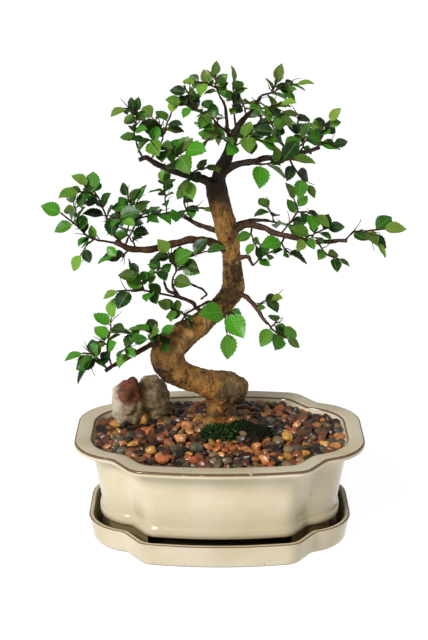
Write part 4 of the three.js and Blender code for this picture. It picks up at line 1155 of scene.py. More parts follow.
def rock_finish():
    """Brown stone with painted light that makes its left side pale, and a rusty patch."""
    rock = Finish("weathered_rock")
    place = rock.place()
    x, _, z = rock.axes(place)
    grain = rock.noise(place, 180, 5, 0.65)
    body = rock.mix(grain.step(0.35, 0.68), colour("#66543A"), colour("#AA9270"))
    # Painted light: the left side of the rock is made pale where the light falls on it.
    pale = (x + 0.012 * (rock.noise(place, 60, 2) - 0.5)).step(-0.066, -0.075)
    body = rock.mix(pale * 0.75, body, colour("#C2B8A4"))
    blots = rock.noise(place, 150, 4, 0.7)
    rust = (rock.near(place, *RUST_PATCH) * 1.5 + blots * 2.2 - 1.4).step(0, 0.7)
    rusty = rock.mix(blots.step(0.4, 0.65), colour("#3A1207"), colour("#7A3C20"))
    body = rock.mix(rust * 0.9, body, rusty)
    dark = rock.noise(place, 75, 4).step(0.52, 0.68) * 0.4
    body = rock.mix(dark, body, colour("#33281C"))
    rock.set(
        base_color=body, roughness=0.8, specular_ior_level=0.25,
        normal=rock.bump(grain, 0.9, 0.002),
    )
    return rock


def moss_cushions():
    """Low cushions grown together, for the sprigs to stand on."""
    cushions = []
    for centre, half_sizes in MOSS_PATCHES:
        deselect()
        bpy.ops.mesh.primitive_ico_sphere_add(
            subdivisions=4, radius=MM, location=[c * MM for c in centre], scale=half_sizes,
        )
        settle(bpy.context.object)
        cushions.append(bpy.context.object)
    pad = join(cushions, "moss_cushions")
    remeshed(pad, 0.9, 3)
    push_out(pad, lambda place: 1.1 * noise.fractal(place * 0.25, 1, 2, 3) - 0.9)
    smooth(pad, 60)
    return pad


def moss_sprigs(pad, count):
    """Small leafy spikes standing out of the cushions."""
    corners = corners_of(pad) / MM
    normals = normals_of(pad)
    above = np.flatnonzero((normals[:, 2] > 0.1) & (corners[:, 2] > MOSS_GROUND))
    draw = np.random.default_rng(MOSS_SEED)
    heap = Heap()
    for number in draw.choice(above, count):
        up = normals[number] + SPRIG_LEAN * draw.standard_normal(3)
        up = up / np.linalg.norm(up)
        side = np.cross(up, draw.standard_normal(3))
        side = side / np.linalg.norm(side)
        front = np.cross(up, side)
        length = draw.uniform(*SPRIG_LENGTHS)
        wide = draw.uniform(*SPRIG_WIDTHS)
        middle = corners[number] + up * length * 0.35
        ring = [
            middle + side * wide, middle + front * wide * 0.5,
            middle - side * wide, middle - front * wide * 0.5,
        ]
        ends = [corners[number] + up * length, corners[number] - up * SPRIG_SINK]
        heap.add(ring + ends, SPRIG_FACES, tone=draw.uniform(0, 1))
    return heap.piece("moss_sprigs")


def moss_finish(name, settings):
    """Green moss, its dark colour partly painted shade, darkened to near black to the right of the
    trunk as painted shade.
    """
    moss = Finish(name, specular_ior_level=0.2)
    place = moss.place()
    x, _, _ = moss.axes(place)
    # The light colour is moss in painted light; the dark one, on the cushions and some sprigs, is
    # partly painted shade.
    tone = moss.trait("tone") * 0.6 + 0.4 * moss.noise(place, 260, 3)
    body = moss.mix(tone.step(0.5, 0.85), settings.dark, settings.light)
    # Painted shade to the right of the trunk.
    shaded = x.step(0.006, 0.02)
    body = moss.mix(shaded * 0.8, body, colour("#150F08"))
    moss.set(
        base_color=body, roughness=0.8, normal=moss.bump(moss.noise(place, 700, 3), 0.8, 0.0008),
    )
    return moss


# Wood.

def tube(name, route, radii, sides, steps):
    """Limb swept along its route with a radius at each of its points, as a closed mesh."""
    deselect()
    bpy.ops.curve.primitive_bezier_curve_add()
    limb = bpy.context.object
    limb.name = name
    curve = limb.data
    curve.dimensions = "3D"
    curve.bevel_depth = MM
    curve.bevel_resolution = sides
    curve.resolution_u = steps
    curve.use_fill_caps = True
    spline = curve.splines[0]
    spline.bezier_points.add(len(route) - 2)
    for point, place, radius in zip(spline.bezier_points, route, radii):
        point.co = Vector(place) * MM
        point.radius = radius
        point.handle_left_type = point.handle_right_type = "AUTO"
    bpy.ops.object.convert(target="MESH")
    return bpy.context.object


def crooked(route, radii, draw):
    """Route with a small kink and a swelling bud scar between its points."""
    new_route, new_radii = [Vector(route[0])], [radii[0] * START_SWELL]
    for i in range(1, len(route)):
        start, end = Vector(route[i - 1]), Vector(route[i])
        kink = Vector([draw.uniform(-BRANCH_KINK, BRANCH_KINK) for _ in range(3)])
        new_route += [(start + end) / 2 + kink, end]
        new_radii += [(radii[i - 1] + radii[i]) / 2 * MIDDLE_SLIM, radii[i] * BUD_SWELL]
    return new_route, new_radii


def knot_rise(place):
    """How far the strongest knot near a place pushes the bark out."""
    rises = []
    for centre, reach, rise in KNOTS:
        away = (place - Vector(centre)).length
        rises.append((1 - away / reach) * rise if away < reach else 0)
    return max(rises)


def trunk_wood(relief_depth):
    """Base, roots, stump and trunk grown into one body with knots and flaking bark."""
    parts = [tube(name, *LIMBS[name], sides=6, steps=6) for name in THICK_LIMBS]
    trunk = join(parts, "trunk_bark")
    remeshed(trunk, 0.65, 5)

    def relief(place):
        lumps = noise.noise(place * 0.085)
        stretched = Vector((place.x * 0.5, place.y * 0.5, place.z * 0.22))
        ridges = noise.ridged_multi_fractal(stretched * 0.6, 1, 2.2, 3, 1, 2)
        grain = noise.fractal(place * 0.8, 0.9, 2.1, 4)
        # The bark is half as rough on the thin upper trunk.
        thick = 0.5 + 0.5 * min(1, max(0, (260 - place.z) / 40))
        rough = relief_depth * thick * (lumps + 0.35 * ridges + 0.3 * grain - 0.45)
        return rough + knot_rise(place)

    push_out(trunk, relief)
    smooth(trunk, 60)
    return trunk


def branch_wood():
    """Branches and bare twigs with small kinks, swellings and a rough skin."""
    draw = random.Random(BRANCH_SEED)
    limbs = []
    for name, (route, radii) in LIMBS.items():
        if name not in THICK_LIMBS:
            limbs.append(tube(name, *crooked(route, radii, draw), sides=3, steps=4))
    branches = join(limbs, "branches_bark")
    push_out(branches, lambda place: 0.22 * noise.fractal(place * 0.9, 1, 2, 3))
    smooth(branches, 60)
    return branches


def patched_bark(bark, place, body, long_grain):
    """Adds the pale patches, partly painted light, the dark ones, partly painted shade, and the red
    patches to the bark's colour.
    """
    for point, reach in PALE_AND_LIT_PATCHES:
        soft = bark.near(place, point, reach) * long_grain.step(0.34, 0.56)
        body = bark.mix(soft * 0.7, body, colour("#B5813F"))
    scabs = bark.noise(place, 170, 4, 0.7)
    for point, reach in DARK_AND_SHADED_PATCHES:
        ragged = bark.near(place, point, reach) + scabs * 2.6 - 1.55
        body = bark.mix(ragged.step(0, 0.7) * 0.85, body, colour("#1C1008"))
    for point in RED_KNOTS:
        body = bark.mix(bark.near(place, point, RED_KNOT_REACH) * 0.8, body, colour("#8E4420"))
        body = bark.mix(bark.near(place, point, RED_KNOT_PIT), body, colour("#1D0F08"))
    return body


def bark_finish(settings):
    """Orange-brown bark with dark cracks and seams, an olive side, and painted shade that turns the
    trunk near black inside the crown.
    """
    bark = Finish("elm_bark")
    place = bark.place()
    x, y, z = bark.axes(place)
    long_grain = bark.noise(bark.stretched(place, (1, 1, 0.4)), 190, 5, 0.65)
    patches = bark.noise(place, 60, 4, 0.6)
    swirl = bark.noise(place, 120, 3, output="Color")
    crooked_place = bark.node(
        "ShaderNodeVectorMath", {"operation": "MULTIPLY_ADD"},
        {0: swirl, 1: (0.009, 0.009, 0.009), 2: place},
    )
    plates = bark.cells(crooked_place, 210, "DISTANCE_TO_EDGE")
    body = bark.mix(patches.step(0.32, 0.62), settings.bark, settings.warm_bark)
    body = bark.mix(long_grain.step(0.5, 0.7) * 0.6, body, colour("#B8945A"))
    olive = (x - 0.5 * (z - 0.15)).step(0.0, 0.02) * bark.noise(place, 85, 3).step(0.42, 0.6)
    body = bark.mix(olive * 0.7, body, colour("#463D26"))
    blotches = bark.noise(place, 110, 4, 0.7).step(0.52, 0.66)
    body = bark.mix(blotches * 0.85, body, settings.dark_bark)
    cracks = long_grain.step(0.44, 0.3)
    body = bark.mix(cracks * 0.75, body, settings.dark_bark)
    seams = plates.step(0.12, 0.02) * bark.noise(place, 95, 2).step(0.5, 0.66)
    body = bark.mix(seams * 0.5, body, settings.dark_bark)
    russet = bark.noise(place, 75, 3).step(0.5, 0.66) * z.step(0.118, 0.1)
    body = bark.mix(russet * 0.7, body, colour("#94501F"))
    pits = bark.cells(bark.stretched(place, (1, 1, 1.6)), 330).step(0.24, 0.1)
    body = bark.mix(pits * bark.noise(place, 140, 2).step(0.4, 0.6) * 0.7, body, settings.dark_bark)
    stump = bark.near(place, *STUMP_END) * patches.step(0.2, 0.5)
    body = bark.mix(stump * 0.6, body, colour("#574E34"))
    # Painted shade: the trunk turns near black inside the crown.
    crown_shade = (z + 0.02 * (patches - 0.5)).step(0.22, 0.252)
    body = bark.mix(crown_shade * 0.94, body, colour("#150D07"))
    body = patched_bark(bark, place, body, long_grain)
    height = long_grain + 0.6 * bark.noise(place, 420, 4, 0.7) - 0.5 * seams
    bark.set(
        base_color=body, roughness=0.72, specular_ior_level=0.25,
        normal=bark.bump(height, 0.8, 0.0014),
    )
    return bark


def twig_finish():
    """Smooth dark bark of branches and twigs, darker still inside the crown as painted shade."""
    twig = Finish("twig_bark")
    place = twig.place()
    _, _, z = twig.axes(place)
    grain = twig.noise(place, 300, 4, 0.65)
    body = twig.mix(grain.step(0.35, 0.65), colour("#2B1A10"), colour("#52341F"))
    # Painted shade: the twigs darken inside the crown.
    crown_shade = z.step(0.215, 0.25)
    body = twig.mix(crown_shade * 0.7, body, colour("#150D08"))
    twig.set(
        base_color=body, roughness=0.65, specular_ior_level=0.25,
        normal=twig.bump(grain, 0.6, 0.0006),
    )
    return twig


# Foliage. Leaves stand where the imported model's leaves stand, because the same rule with the
# same draws places them here; more are added where its wider clearances left some off.

def unit(vector):
    return vector / math.sqrt(vector @ vector)


def dice(seed):
    """Seeded draws between -1 and 1."""
    state = seed % DICE_RANGE

    def draw():
        nonlocal state
        state = (state * DICE_FACTOR + DICE_STEP) % DICE_RANGE
        return state / DICE_RANGE * 2 - 1

    draw()
    draw()
    return draw


def along_route(route, share):
    reach = share * (len(route) - 1)
    i = min(len(route) - 2, int(reach))
    return route[i] + (route[i + 1] - route[i]) * (reach - i)


def direction_at(route, share):
    return unit(along_route(route, min(1, share + 0.02)) - along_route(route, max(0, share - 0.02)))


def level_at(levels, share):
    reach = share * (len(levels) - 1)
    i = min(len(levels) - 2, int(reach))
    return levels[i] + (levels[i + 1] - levels[i]) * (reach - i)


def facing(point):
    """Way that a leaf at a point looks: up, to the front and away from the tree's middle."""
    outward = unit(np.array([point[0] - TREE_AXIS[0] + 0.01, point[1] - TREE_AXIS[1], 0]))
    return np.array([0, -0.4, 0.7]) + 0.4 * outward


def beads_of(route, radii):
    """Beads along a limb as rows of x, y, z and radius."""
    length = sum(math.dist(route[i - 1], route[i]) for i in range(1, len(route)))
    count = math.ceil(length / 2)
    shares = [i / count for i in range(count + 1)]
    return np.array([[*along_route(route, share), level_at(radii, share)] for share in shares])


def stems_of(spray, wood_beads):
    """Stems of a spray as (route, radii, leaves), the main one starting on the nearest wood."""
    _, route, leaves, shoots = spray
    route = [np.array(point, float) for point in route]
    nearest = np.argmin(np.linalg.norm(wood_beads[:, :3] - route[0], axis=1))
    route[0] = wood_beads[nearest, :3]
    first, last = STEM_RADII
    steps = len(route) - 1
    stems = [(route, [first + (last - first) * i / steps for i in range(steps + 1)], leaves)]
    for share, tip, shoot_leaves in shoots:
        start = along_route(route, share)
        tip = np.array(tip, float)
        middle = (start + tip) / 2 + (0, 0, 1.5)
        radii = [SHOOT_RADII[0], SHOOT_RADII[0], SHOOT_RADII[1]]
        stems.append(([start, middle, tip], radii, shoot_leaves))
    return stems


class Leaf:
    """One leaf's place: its root, length, half width and three directions. Spread turns it more
    at random, level turns it up."""

    def __init__(self, stem, order, typical, draw, spread, level=0.0):
        route, _, leaves = stem
        last = order == leaves - 1
        share = 1 if last else LEAF_START + LEAF_RUN * order / max(1, leaves - 1)
        root = along_route(route, share)
        direction = direction_at(route, share)
        roll = np.array([draw(), draw(), draw()])
        up = unit(facing(root) * (1 - level) + (0, 0, level) + roll * (0.3 + spread))
        sideways = unit(np.cross(direction, up))
        hand = 1 if order % 2 == 0 else -1
        # An end leaf points on along the stem, the others stand off to either side by turns.
        angle = (0.15 * draw() if last else 1.0 + 0.25 * draw()) + spread * draw()
        drooped = math.cos(angle) * direction + (0.18 + 0.12 * draw()) * np.array([0, 0, -1])
        self.axis = unit(drooped + hand * math.sin(angle) * sideways)
        self.normal = unit(up - self.axis * (up @ self.axis))
        length = LEAF_SCALE * typical * (1 + 0.22 * draw()) * (0.9 if last else 1)
        sink = END_LEAF_SINK if last else 0
        self.root = root - self.axis * sink
        self.side = np.cross(self.normal, self.axis)
        self.length = length + sink
        self.half = length * (LEAF_WIDTH_SHARE + 0.04 * draw())
        self.last = last

    def point(self, along, across, height=0.0):
        sag = LEAF_BEND * self.length * along ** 2
        lift = LEAF_FOLD * self.half * abs(across)
        spine = self.root + self.axis * along * self.length + self.side * across * self.half
        return spine + self.normal * (height - sag + lift)

    def meets(self, points, radii, clearance):
        """Whether any ball of points and radii reaches into the leaf."""
        offset = points - self.root
        along = offset @ self.axis / self.length
        spare = (radii + clearance) / self.length
        near = (along >= -spare) & (along <= 1 + spare)
        across = np.abs(offset @ self.side / self.half)
        reach = np.where(
            along < LEAF_WIDEST,
            (LEAF_WIDEST - along) / LEAF_WIDEST, (along - LEAF_WIDEST) / (1 - LEAF_WIDEST),
        )
        width = np.maximum(0, 1 - reach ** 2) + (radii + clearance) / self.half
        lift = LEAF_FOLD * self.half * np.minimum(1, across)
        height = offset @ self.normal + LEAF_BEND * self.length * along ** 2 - lift
        thick = radii + LEAF_THICKNESS / 2 + clearance
        return bool(np.any(near & (across <= width) & (np.abs(height) < thick)))

    def rim(self):
        points = []
        for i, (along, across) in enumerate(LEAF_OUTLINE):
            next_along, next_across = LEAF_OUTLINE[(i + 1) % len(LEAF_OUTLINE)]
            points.append(self.point(along, across))
            points.append(self.point((along + next_along) / 2, (across + next_across) / 2))
        return np.array(points)

    def is_free(self, placed, beads, clearance):
        if self.meets(beads[:, :3], beads[:, 3], clearance):
            return False
        rim = self.rim()
        for other in placed:
            if math.dist(other.root, self.root) > other.length + self.length + 2:
                continue
            if other.meets(rim, 0, clearance) or self.meets(other.rim(), 0, clearance):
                return False
        return True


def seat_leaf(tries, placed, name, beads, clearance):
    """Keeps the first of the tried leaves that meets nothing and says whether there was one."""
    for leaf in tries:
        if leaf.is_free(placed, beads, clearance):
            leaf.spray = name
            placed.append(leaf)
            return True
    return False


def seat_packed_leaves(sprays, wood_beads, placed):
    """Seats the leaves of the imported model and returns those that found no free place."""
    left_off = []
    own_beads = [np.concatenate([beads_of(*stem[:2]) for stem in stems]) for _, _, stems in sprays]
    for spray_order, (name, typical, stems) in enumerate(sprays):
        others = [beads for i, beads in enumerate(own_beads) if i != spray_order]
        beads = np.concatenate([wood_beads, *others])
        places = [(stem, order) for stem in stems for order in range(stem[2])]
        for number, (stem, order) in enumerate(places, 1):
            draw = dice(LEAF_SEEDS[0] * (spray_order + 1) + LEAF_SEEDS[1] * number)
            tries = (
                Leaf(stem, order, typical, draw, 0.12 * attempt) for attempt in range(LEAF_TRIES)
            )
            if not seat_leaf(tries, placed, name, beads, LEAF_CLEARANCE):
                left_off.append((name, typical, stem, order, draw))
    return left_off


def extra_rounds(tip):
    """How many times a spray is given more leaves, by where its tip is."""
    if tip[2] > CROWN_START or tip[0] < LEFT_SIDE:
        return EXTRA_ROUNDS
    return 0 if tip[0] > RIGHT_SIDE else 1


def seat_extra_leaves(sprays, wood_beads, placed):
    """Fills the sprays up with smaller, flatter leaves between the others."""
    for spray_order, (name, typical, stems) in enumerate(sprays):
        for number, stem in enumerate(stems * extra_rounds(stems[0][0][-1])):
            route, radii, leaves = stem
            size = typical * (EXTRA_SIZE - EXTRA_SHRINK * (number // len(stems)))
            for order in range(leaves):
                seed = EXTRA_SEEDS[0] * (spray_order + 1) + EXTRA_SEEDS[1] * order + len(placed)
                draw = dice(seed)
                fuller = (route, radii, leaves + 1)
                tries = (
                    Leaf(fuller, order, size, draw, 0.2 + 0.05 * attempt, EXTRA_LEVEL)
                    for attempt in range(EXTRA_TRIES)
                )
                seat_leaf(tries, placed, name, wood_beads, EXTRA_CLEARANCE)


def grown_leaves(sprays, wood_beads):
    """Leaves of every spray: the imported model's, those it left off for want of room, and more."""
    placed = []
    for name, typical, stem, order, draw in seat_packed_leaves(sprays, wood_beads, placed):
        tries = (
            Leaf(stem, order, typical, draw, 0.1 + 0.05 * attempt)
            for attempt in range(EXTRA_TRIES)
        )
        seat_leaf(tries, placed, name, wood_beads, EXTRA_CLEARANCE)
    seat_extra_leaves(sprays, wood_beads, placed)
    return placed


def tint_leaves(leaves):
    """Gives each leaf its tone, from painted shade to painted light, and its youth: young at the tips
    and at the top, always lit in front.
    """
    draw = random.Random(LEAF_TONE_SEED)
    for leaf in leaves:
        tip = 0.3 if leaf.last else 0
        high = min(1, max(0, (leaf.root[2] - 270) / 60)) * 0.25
        leaf.youth = min(1, max(0, tip + high + draw.uniform(-0.45, 0.3)))
        leaf.tone = draw.uniform(0.8 if leaf.spray == "front" else 0, 1)


def leaf_width(along):
    """Half width of the blade at a share of its length, as a share of its greatest one."""
    return BLADE_FULLNESS * math.sin(math.pi * along ** 0.84) ** 0.78


def add_blade(heap, leaf, draw):
    """Toothed blade, a little thicker along its midrib. Its underside lies in the map's
    second tile."""
    twist = draw.uniform(-BLADE_TWIST, BLADE_TWIST)
    wave = draw.uniform(0, 6)

    def corner(along, across, lift=0.0):
        share = BLADE_START + (1 - BLADE_START) * along
        fold = (BLADE_FOLD + BLADE_WAVE * math.sin(9 * along + wave)) * abs(across)
        return leaf.point(share, across, lift + (fold + twist * across * share) * leaf.half)

    rows = [i / LEAF_TEETH for i in range(LEAF_TEETH + 1)]
    widths = [NOTCH_WIDTH * leaf_width(along) if 0 < along < 1 else END_WIDTH for along in rows]
    teeth = [(i + TOOTH_LEAN) / LEAF_TEETH for i in range(LEAF_TEETH)]
    corners = [corner(along, 0, -MIDRIB_SINK) for along in rows]
    corners += [middle - leaf.normal * BLADE_THICKNESS for middle in corners]
    faces, places = [], []
    for sign in (1, -1):
        edge = len(corners)
        tip = edge + LEAF_TEETH + 1
        corners += [corner(along, sign * width) for along, width in zip(rows, widths)]
        corners += [corner(along, sign * leaf_width(along), TOOTH_LIFT) for along in teeth]
        for i in range(LEAF_TEETH):
            for base, tile in ((0, 0), (LEAF_TEETH + 1, 1)):
                middle = (0.5 + tile, rows[i])
                after = (0.5 + tile, rows[i + 1])
                side = (0.5 + tile + sign * MAP_REACH * widths[i], rows[i])
                side_after = (0.5 + tile + sign * MAP_REACH * widths[i + 1], rows[i + 1])
                point = (0.5 + tile + sign * MAP_REACH * leaf_width(teeth[i]), teeth[i])
                turn = -1 if (sign < 0) == (base == 0) else 1
                faces.append([base + i, edge + i, tip + i][::turn])
                places.append([middle, side, point][::turn])
                faces.append([base + i, tip + i, edge + i + 1, base + i + 1][::turn])
                places.append([middle, point, side_after, after][::turn])
    heap.add(corners, faces, places, tone=leaf.tone, youth=leaf.youth)


def add_stalk(heap, start, end, radius, end_radius, tone):
    """Straight stretch of a stem or stalk."""
    axis = unit(end - start)
    side = unit(np.cross(axis, (0.3, 0.2, 1)))
    front = np.cross(axis, side)
    corners = []
    for centre, wide in ((start, radius), (end, end_radius)):
        for turn in range(STALK_SIDES):
            angle = 2 * math.pi * turn / STALK_SIDES
            corners.append(centre + wide * (math.cos(angle) * side + math.sin(angle) * front))
    sides = STALK_SIDES
    faces = [[i, (i + 1) % sides, sides + (i + 1) % sides, sides + i] for i in range(sides)]
    faces += [list(range(sides))[::-1], list(range(sides, 2 * sides))]
    places = [[(-0.5, 0.5)] * len(face) for face in faces]
    heap.add(corners, faces, places, tone=tone, youth=0)


def add_stem(heap, stem, draw):
    """Thin twig that bends a little at each bud."""
    route, radii, _ = stem
    steps = 3 * (len(route) - 1)
    shares = [i / steps for i in range(steps + 1)]
    points = [along_route(route, share) for share in shares]
    for i in range(1, steps):
        aside = unit(np.cross(direction_at(route, shares[i]), (0, 0, 1)))
        points[i] = points[i] + STEM_KINK * (-1) ** i * aside
    for i in range(steps):
        wide = [STEM_SLIM * level_at(radii, share) for share in shares[i:i + 2]]
        add_stalk(heap, points[i], points[i + 1], *wide, draw.uniform(0, 1))


def add_bare_twig(heap, stem, draw):
    """Fine leafless twig that forks off a stem and turns at each of its buds."""
    route = stem[0]
    share = draw.uniform(0.15, 0.9)
    start = along_route(route, share)
    aside = np.array([draw.uniform(-1, 1), draw.uniform(-1, 1), draw.uniform(-0.3, 1)])
    heading = unit(direction_at(route, share) + 0.9 * aside)
    for i in range(TWIG_STEPS):
        end = start + heading * draw.uniform(2.5, 4.5)
        add_stalk(heap, start, end, 0.42 - 0.08 * i, 0.34 - 0.08 * i, draw.uniform(0, 1))
        heading = unit(heading + 0.5 * np.array([draw.uniform(-1, 1) for _ in range(3)]))
        start = end


def foliage_piece(name, stems, leaves):
    """One spray: its stems, bare twigs, leaf stalks and blades."""
    draw = random.Random(name)
    heap = Heap()
    for stem in stems:
        add_stem(heap, stem, draw)
        for _ in range(BARE_TWIGS):
            add_bare_twig(heap, stem, draw)
    for leaf in leaves:
        stalk_end = leaf.point(BLADE_START * 1.3, 0, -0.3)
        add_stalk(heap, leaf.root, stalk_end, *STALK_RADII, 0.5)
        add_blade(heap, leaf, draw)
    piece = heap.piece("foliage_" + name)
    smooth(piece, 55)
    return piece


def leaf_finish(settings):
    """Glossy leaf, mixed between a lit and a shaded green as painted light and shade, with side veins
    that run up from the midrib, paler below; brown on stalks.
    """
    leaf = Finish("elm_leaf", coat_weight=0.2, coat_roughness=0.24)
    place = leaf.place()
    u, v, _ = leaf.axes(leaf.uv())
    stalk = u.step(-0.1, -0.3)
    under = u.step(0.995, 1.005)
    across = abs(u - under - 0.5) * 2
    tone, youth = leaf.trait("tone"), leaf.trait("youth")
    # Tone mixes each leaf between its green in painted shade and its green in painted light.
    body = leaf.mix(tone.step(0.25, 1), settings.shaded_leaf, settings.leaf)
    body = leaf.mix(youth, body, settings.young_leaf)
    rows = (v - 0.42 * across) * 9
    veins = rows.ping_pong(0.5)
    vein_line = veins.step(0.1, 0.02) * across.step(0.0, 0.12)
    pillow = veins.step(0.0, 0.4)
    mottle = leaf.noise(place, 330, 3)
    body = leaf.mix(mottle.step(0.45, 0.75) * 0.18, body, colour("#4E8A24"))
    body = leaf.mix(vein_line * 0.1, body, colour("#6F9A40"))
    midrib = across.step(0.09, 0.02)
    body = leaf.mix(midrib * 0.2, body, colour("#8DB058"))
    body = leaf.mix(under * 0.35, body, colour("#587E38"))
    body = leaf.mix(stalk, body, colour("#33210F"))
    height = pillow * 0.6 + 0.4 * mottle - 0.5 * midrib
    leaf.set(
        base_color=body, roughness=mottle * 0.2 + 0.34, specular_ior_level=0.2,
        normal=leaf.bump(height * (1 - stalk), 0.6, 0.0006),
    )
    return leaf


# Settings.

def swatch(name, description, code):
    return bpy.props.FloatVectorProperty(
        name=name, description=description, subtype="COLOR", size=4, min=0, max=1,
        default=colour(code),
    )


class PotSettings(bpy.types.PropertyGroup):
    glaze: swatch("Glaze", "Colour of the glaze on pot and tray", "#CDC1A7")
    pooled_glaze: swatch("Pooled glaze", "Colour where the glaze lies thicker", "#BFB291")
    edge: swatch("Edge", "Colour of thin glaze along the edges and of the specks", "#54341C")
    specks: bpy.props.FloatProperty(
        name="Specks", description="How strongly the dark specks show", default=0.7, min=0, max=1,
        subtype="FACTOR",
    )


class GravelSettings(bpy.types.PropertyGroup):
    pebbles: bpy.props.IntProperty(
        name="Pebbles", description="Pebbles in the top layer", default=470, min=50, max=900,
    )
    pebble_size: bpy.props.FloatProperty(
        name="Pebble size", description="Typical width of a pebble", default=0.0072,
        min=0.003, max=0.012, unit="LENGTH",
    )
    wetness: bpy.props.FloatProperty(
        name="Wetness", description="How wet the pebbles look", default=0.6, min=0, max=1,
        subtype="FACTOR",
    )
    seed: bpy.props.IntProperty(
        name="Seed", description="Which heap of pebbles is drawn", default=3, min=0,
    )


class MossSettings(bpy.types.PropertyGroup):
    sprigs: bpy.props.IntProperty(
        name="Sprigs", description="Small spikes on the moss", default=2600, min=100, max=6000,
    )
    # Light moss is the colour in painted light; dark moss, on the cushions and some sprigs, is partly
    # painted shade.
    light: swatch("Light moss", "Colour of the moss in the light", "#4C7A24")
    dark: swatch("Dark moss", "Colour between the sprigs", "#0E1506")


class TreeSettings(bpy.types.PropertyGroup):
    bark: swatch("Bark", "Main colour of the trunk", "#64482A")
    warm_bark: swatch("Warm bark", "Colour of the orange-brown patches", "#9A6E34")
    dark_bark: swatch("Dark bark", "Colour of cracks and dark patches", "#1C1209")
    relief: bpy.props.FloatProperty(
        name="Bark relief", description="Depth of the knots and ridges", default=0.0013,
        min=0, max=0.003, unit="LENGTH",
    )
    # The leaf colour is the green in painted light, and the next one the same green in painted shade.
    leaf: swatch("Leaf", "Colour of a grown leaf in the light", "#3E8414")
    shaded_leaf: swatch("Dark leaf", "Colour of the darkest leaves", "#092903")
    young_leaf: swatch("Young leaf", "Colour of the leaves at the tips", "#84A236")


class StageSettings(bpy.types.PropertyGroup):
    floor_size: bpy.props.FloatProperty(
        name="Floor size", description="Side of the floor", default=30, min=2, unit="LENGTH",
    )
    key: bpy.props.FloatProperty(
        name="Key light", description="Strength of the light from the upper left", default=3.9,
        min=0,
    )
    fill: bpy.props.FloatProperty(
        name="Fill light", description="Strength of the light from the right", default=0.15, min=0,
    )
    glow: bpy.props.FloatProperty(
        name="Floor glow", description="Light of its own that keeps the floor white in shadows",
        default=0.95, min=0,
    )
    surround: bpy.props.FloatProperty(
        name="Surround", description="Strength of the white surroundings", default=0.24, min=0,
    )


# One operator for each piece or group of like pieces.

class BonsaiOperator:
    """Options that all the operators share"""

    bl_options = {"REGISTER", "UNDO"}


class BONSAI_OT_tray(BonsaiOperator, bpy.types.Operator):
    """Make the lobed drip tray"""

    bl_idname = "bonsai.tray"
    bl_label = "Drip tray"

    def execute(self, context):
        tray = lobed_body("drip_tray_glazed", TRAY_ROWS, TRAY_HALF_LENGTH, TRAY_HALF_DEPTH)
        mark_rows(tray, "worn", TRAY_WORN)
        mark_rows(tray, "damp", TRAY_PAINTED_SHADE)
        smooth(tray, 50)
        finish_piece(tray, "drip_tray", glaze_finish(context.scene.bonsai_pot))
        return {"FINISHED"}


class BONSAI_OT_pot(BonsaiOperator, bpy.types.Operator):
    """Make the lobed pot with its feet and drainage holes"""

    bl_idname = "bonsai.pot"
    bl_label = "Pot"

    def execute(self, context):
        pot = lobed_body("pot_glazed", POT_ROWS)
        combine(pot, pot_feet(), "UNION")
        for side in (-1, 1):
            combine(pot, drill(side), "DIFFERENCE")
        mark_rows(pot, "worn", POT_WORN)
        mark_rows(pot, "damp", POT_PAINTED_SHADE)
        smooth(pot, 50)
        finish_piece(pot, "pot", glaze_finish(context.scene.bonsai_pot))
        return {"FINISHED"}


class BONSAI_OT_buried(BonsaiOperator, bpy.types.Operator):
    """Finish the soil and the drainage screens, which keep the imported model's shape"""

    bl_idname = "bonsai.buried"
    bl_label = "Soil and screens"

    def execute(self, context):
        soil = grit_finish("potting_soil", colour("#1E1510"), colour("#4A382A"), 420)
        screen = Finish("screen_mesh")
        screen.set(
            base_color=screen.mix(
                screen.noise(screen.place(), 300, 3), colour("#141414"), colour("#2A2A2A"),
            ),
            roughness=0.6,
        )
        for node in ("soil", "drainage_screen_left", "drainage_screen_right"):
            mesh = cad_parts[node].data
            mesh.materials.clear()
            mesh.materials.append((soil if node == "soil" else screen).material)
        return {"FINISHED"}


class BONSAI_OT_gravel(BonsaiOperator, bpy.types.Operator):
    """Make the grit bed and the pebbles that lie on it"""

    bl_idname = "bonsai.gravel"
    bl_label = "Gravel"

    def execute(self, context):
        bed = lobed_body("gravel_bed", BED_ROWS)
        # The bed's grit is nearly black: painted shade in the gaps between the pebbles.
        finish_piece(
            bed, "gravel",
            grit_finish("gravel_grit_and_shade", colour("#120C08"), colour("#33231A"), 500),
        )
        settings = context.scene.bonsai_gravel
        pebbles = gravel_pebbles(settings)
        finish_piece(pebbles, "gravel", pebble_finish(settings))
        return {"FINISHED"}


class BONSAI_OT_moss(BonsaiOperator, bpy.types.Operator):
    """Make the moss cushions and their sprigs"""

    bl_idname = "bonsai.moss"
    bl_label = "Moss"

    def execute(self, context):
        settings = context.scene.bonsai_moss
        pad = moss_cushions()
        sprigs = moss_sprigs(pad, settings.sprigs)
        finish_piece(pad, "moss", moss_finish("moss_pad", settings))
        finish_piece(sprigs, "moss", moss_finish("moss_sprig", settings))
        return {"FINISHED"}


class BONSAI_OT_rock(BonsaiOperator, bpy.types.Operator):
    """Make the weathered rock"""

    bl_idname = "bonsai.rock"
    bl_label = "Rock"

    def execute(self, context):
        finish_piece(rock_body(), "rock", rock_finish())
        return {"FINISHED"}


class BONSAI_OT_trunk(BonsaiOperator, bpy.types.Operator):
    """Make the roots, the stump and the curved trunk"""

    bl_idname = "bonsai.trunk"
    bl_label = "Trunk"

    def execute(self, context):
        settings = context.scene.bonsai_tree
        finish_piece(trunk_wood(settings.relief / MM), "trunk", bark_finish(settings))
        return {"FINISHED"}


class BONSAI_OT_branches(BonsaiOperator, bpy.types.Operator):
    """Make the branches and bare twigs"""

    bl_idname = "bonsai.branches"
    bl_label = "Branches"

    def execute(self, context):
        finish_piece(branch_wood(), "trunk", twig_finish())
        return {"FINISHED"}


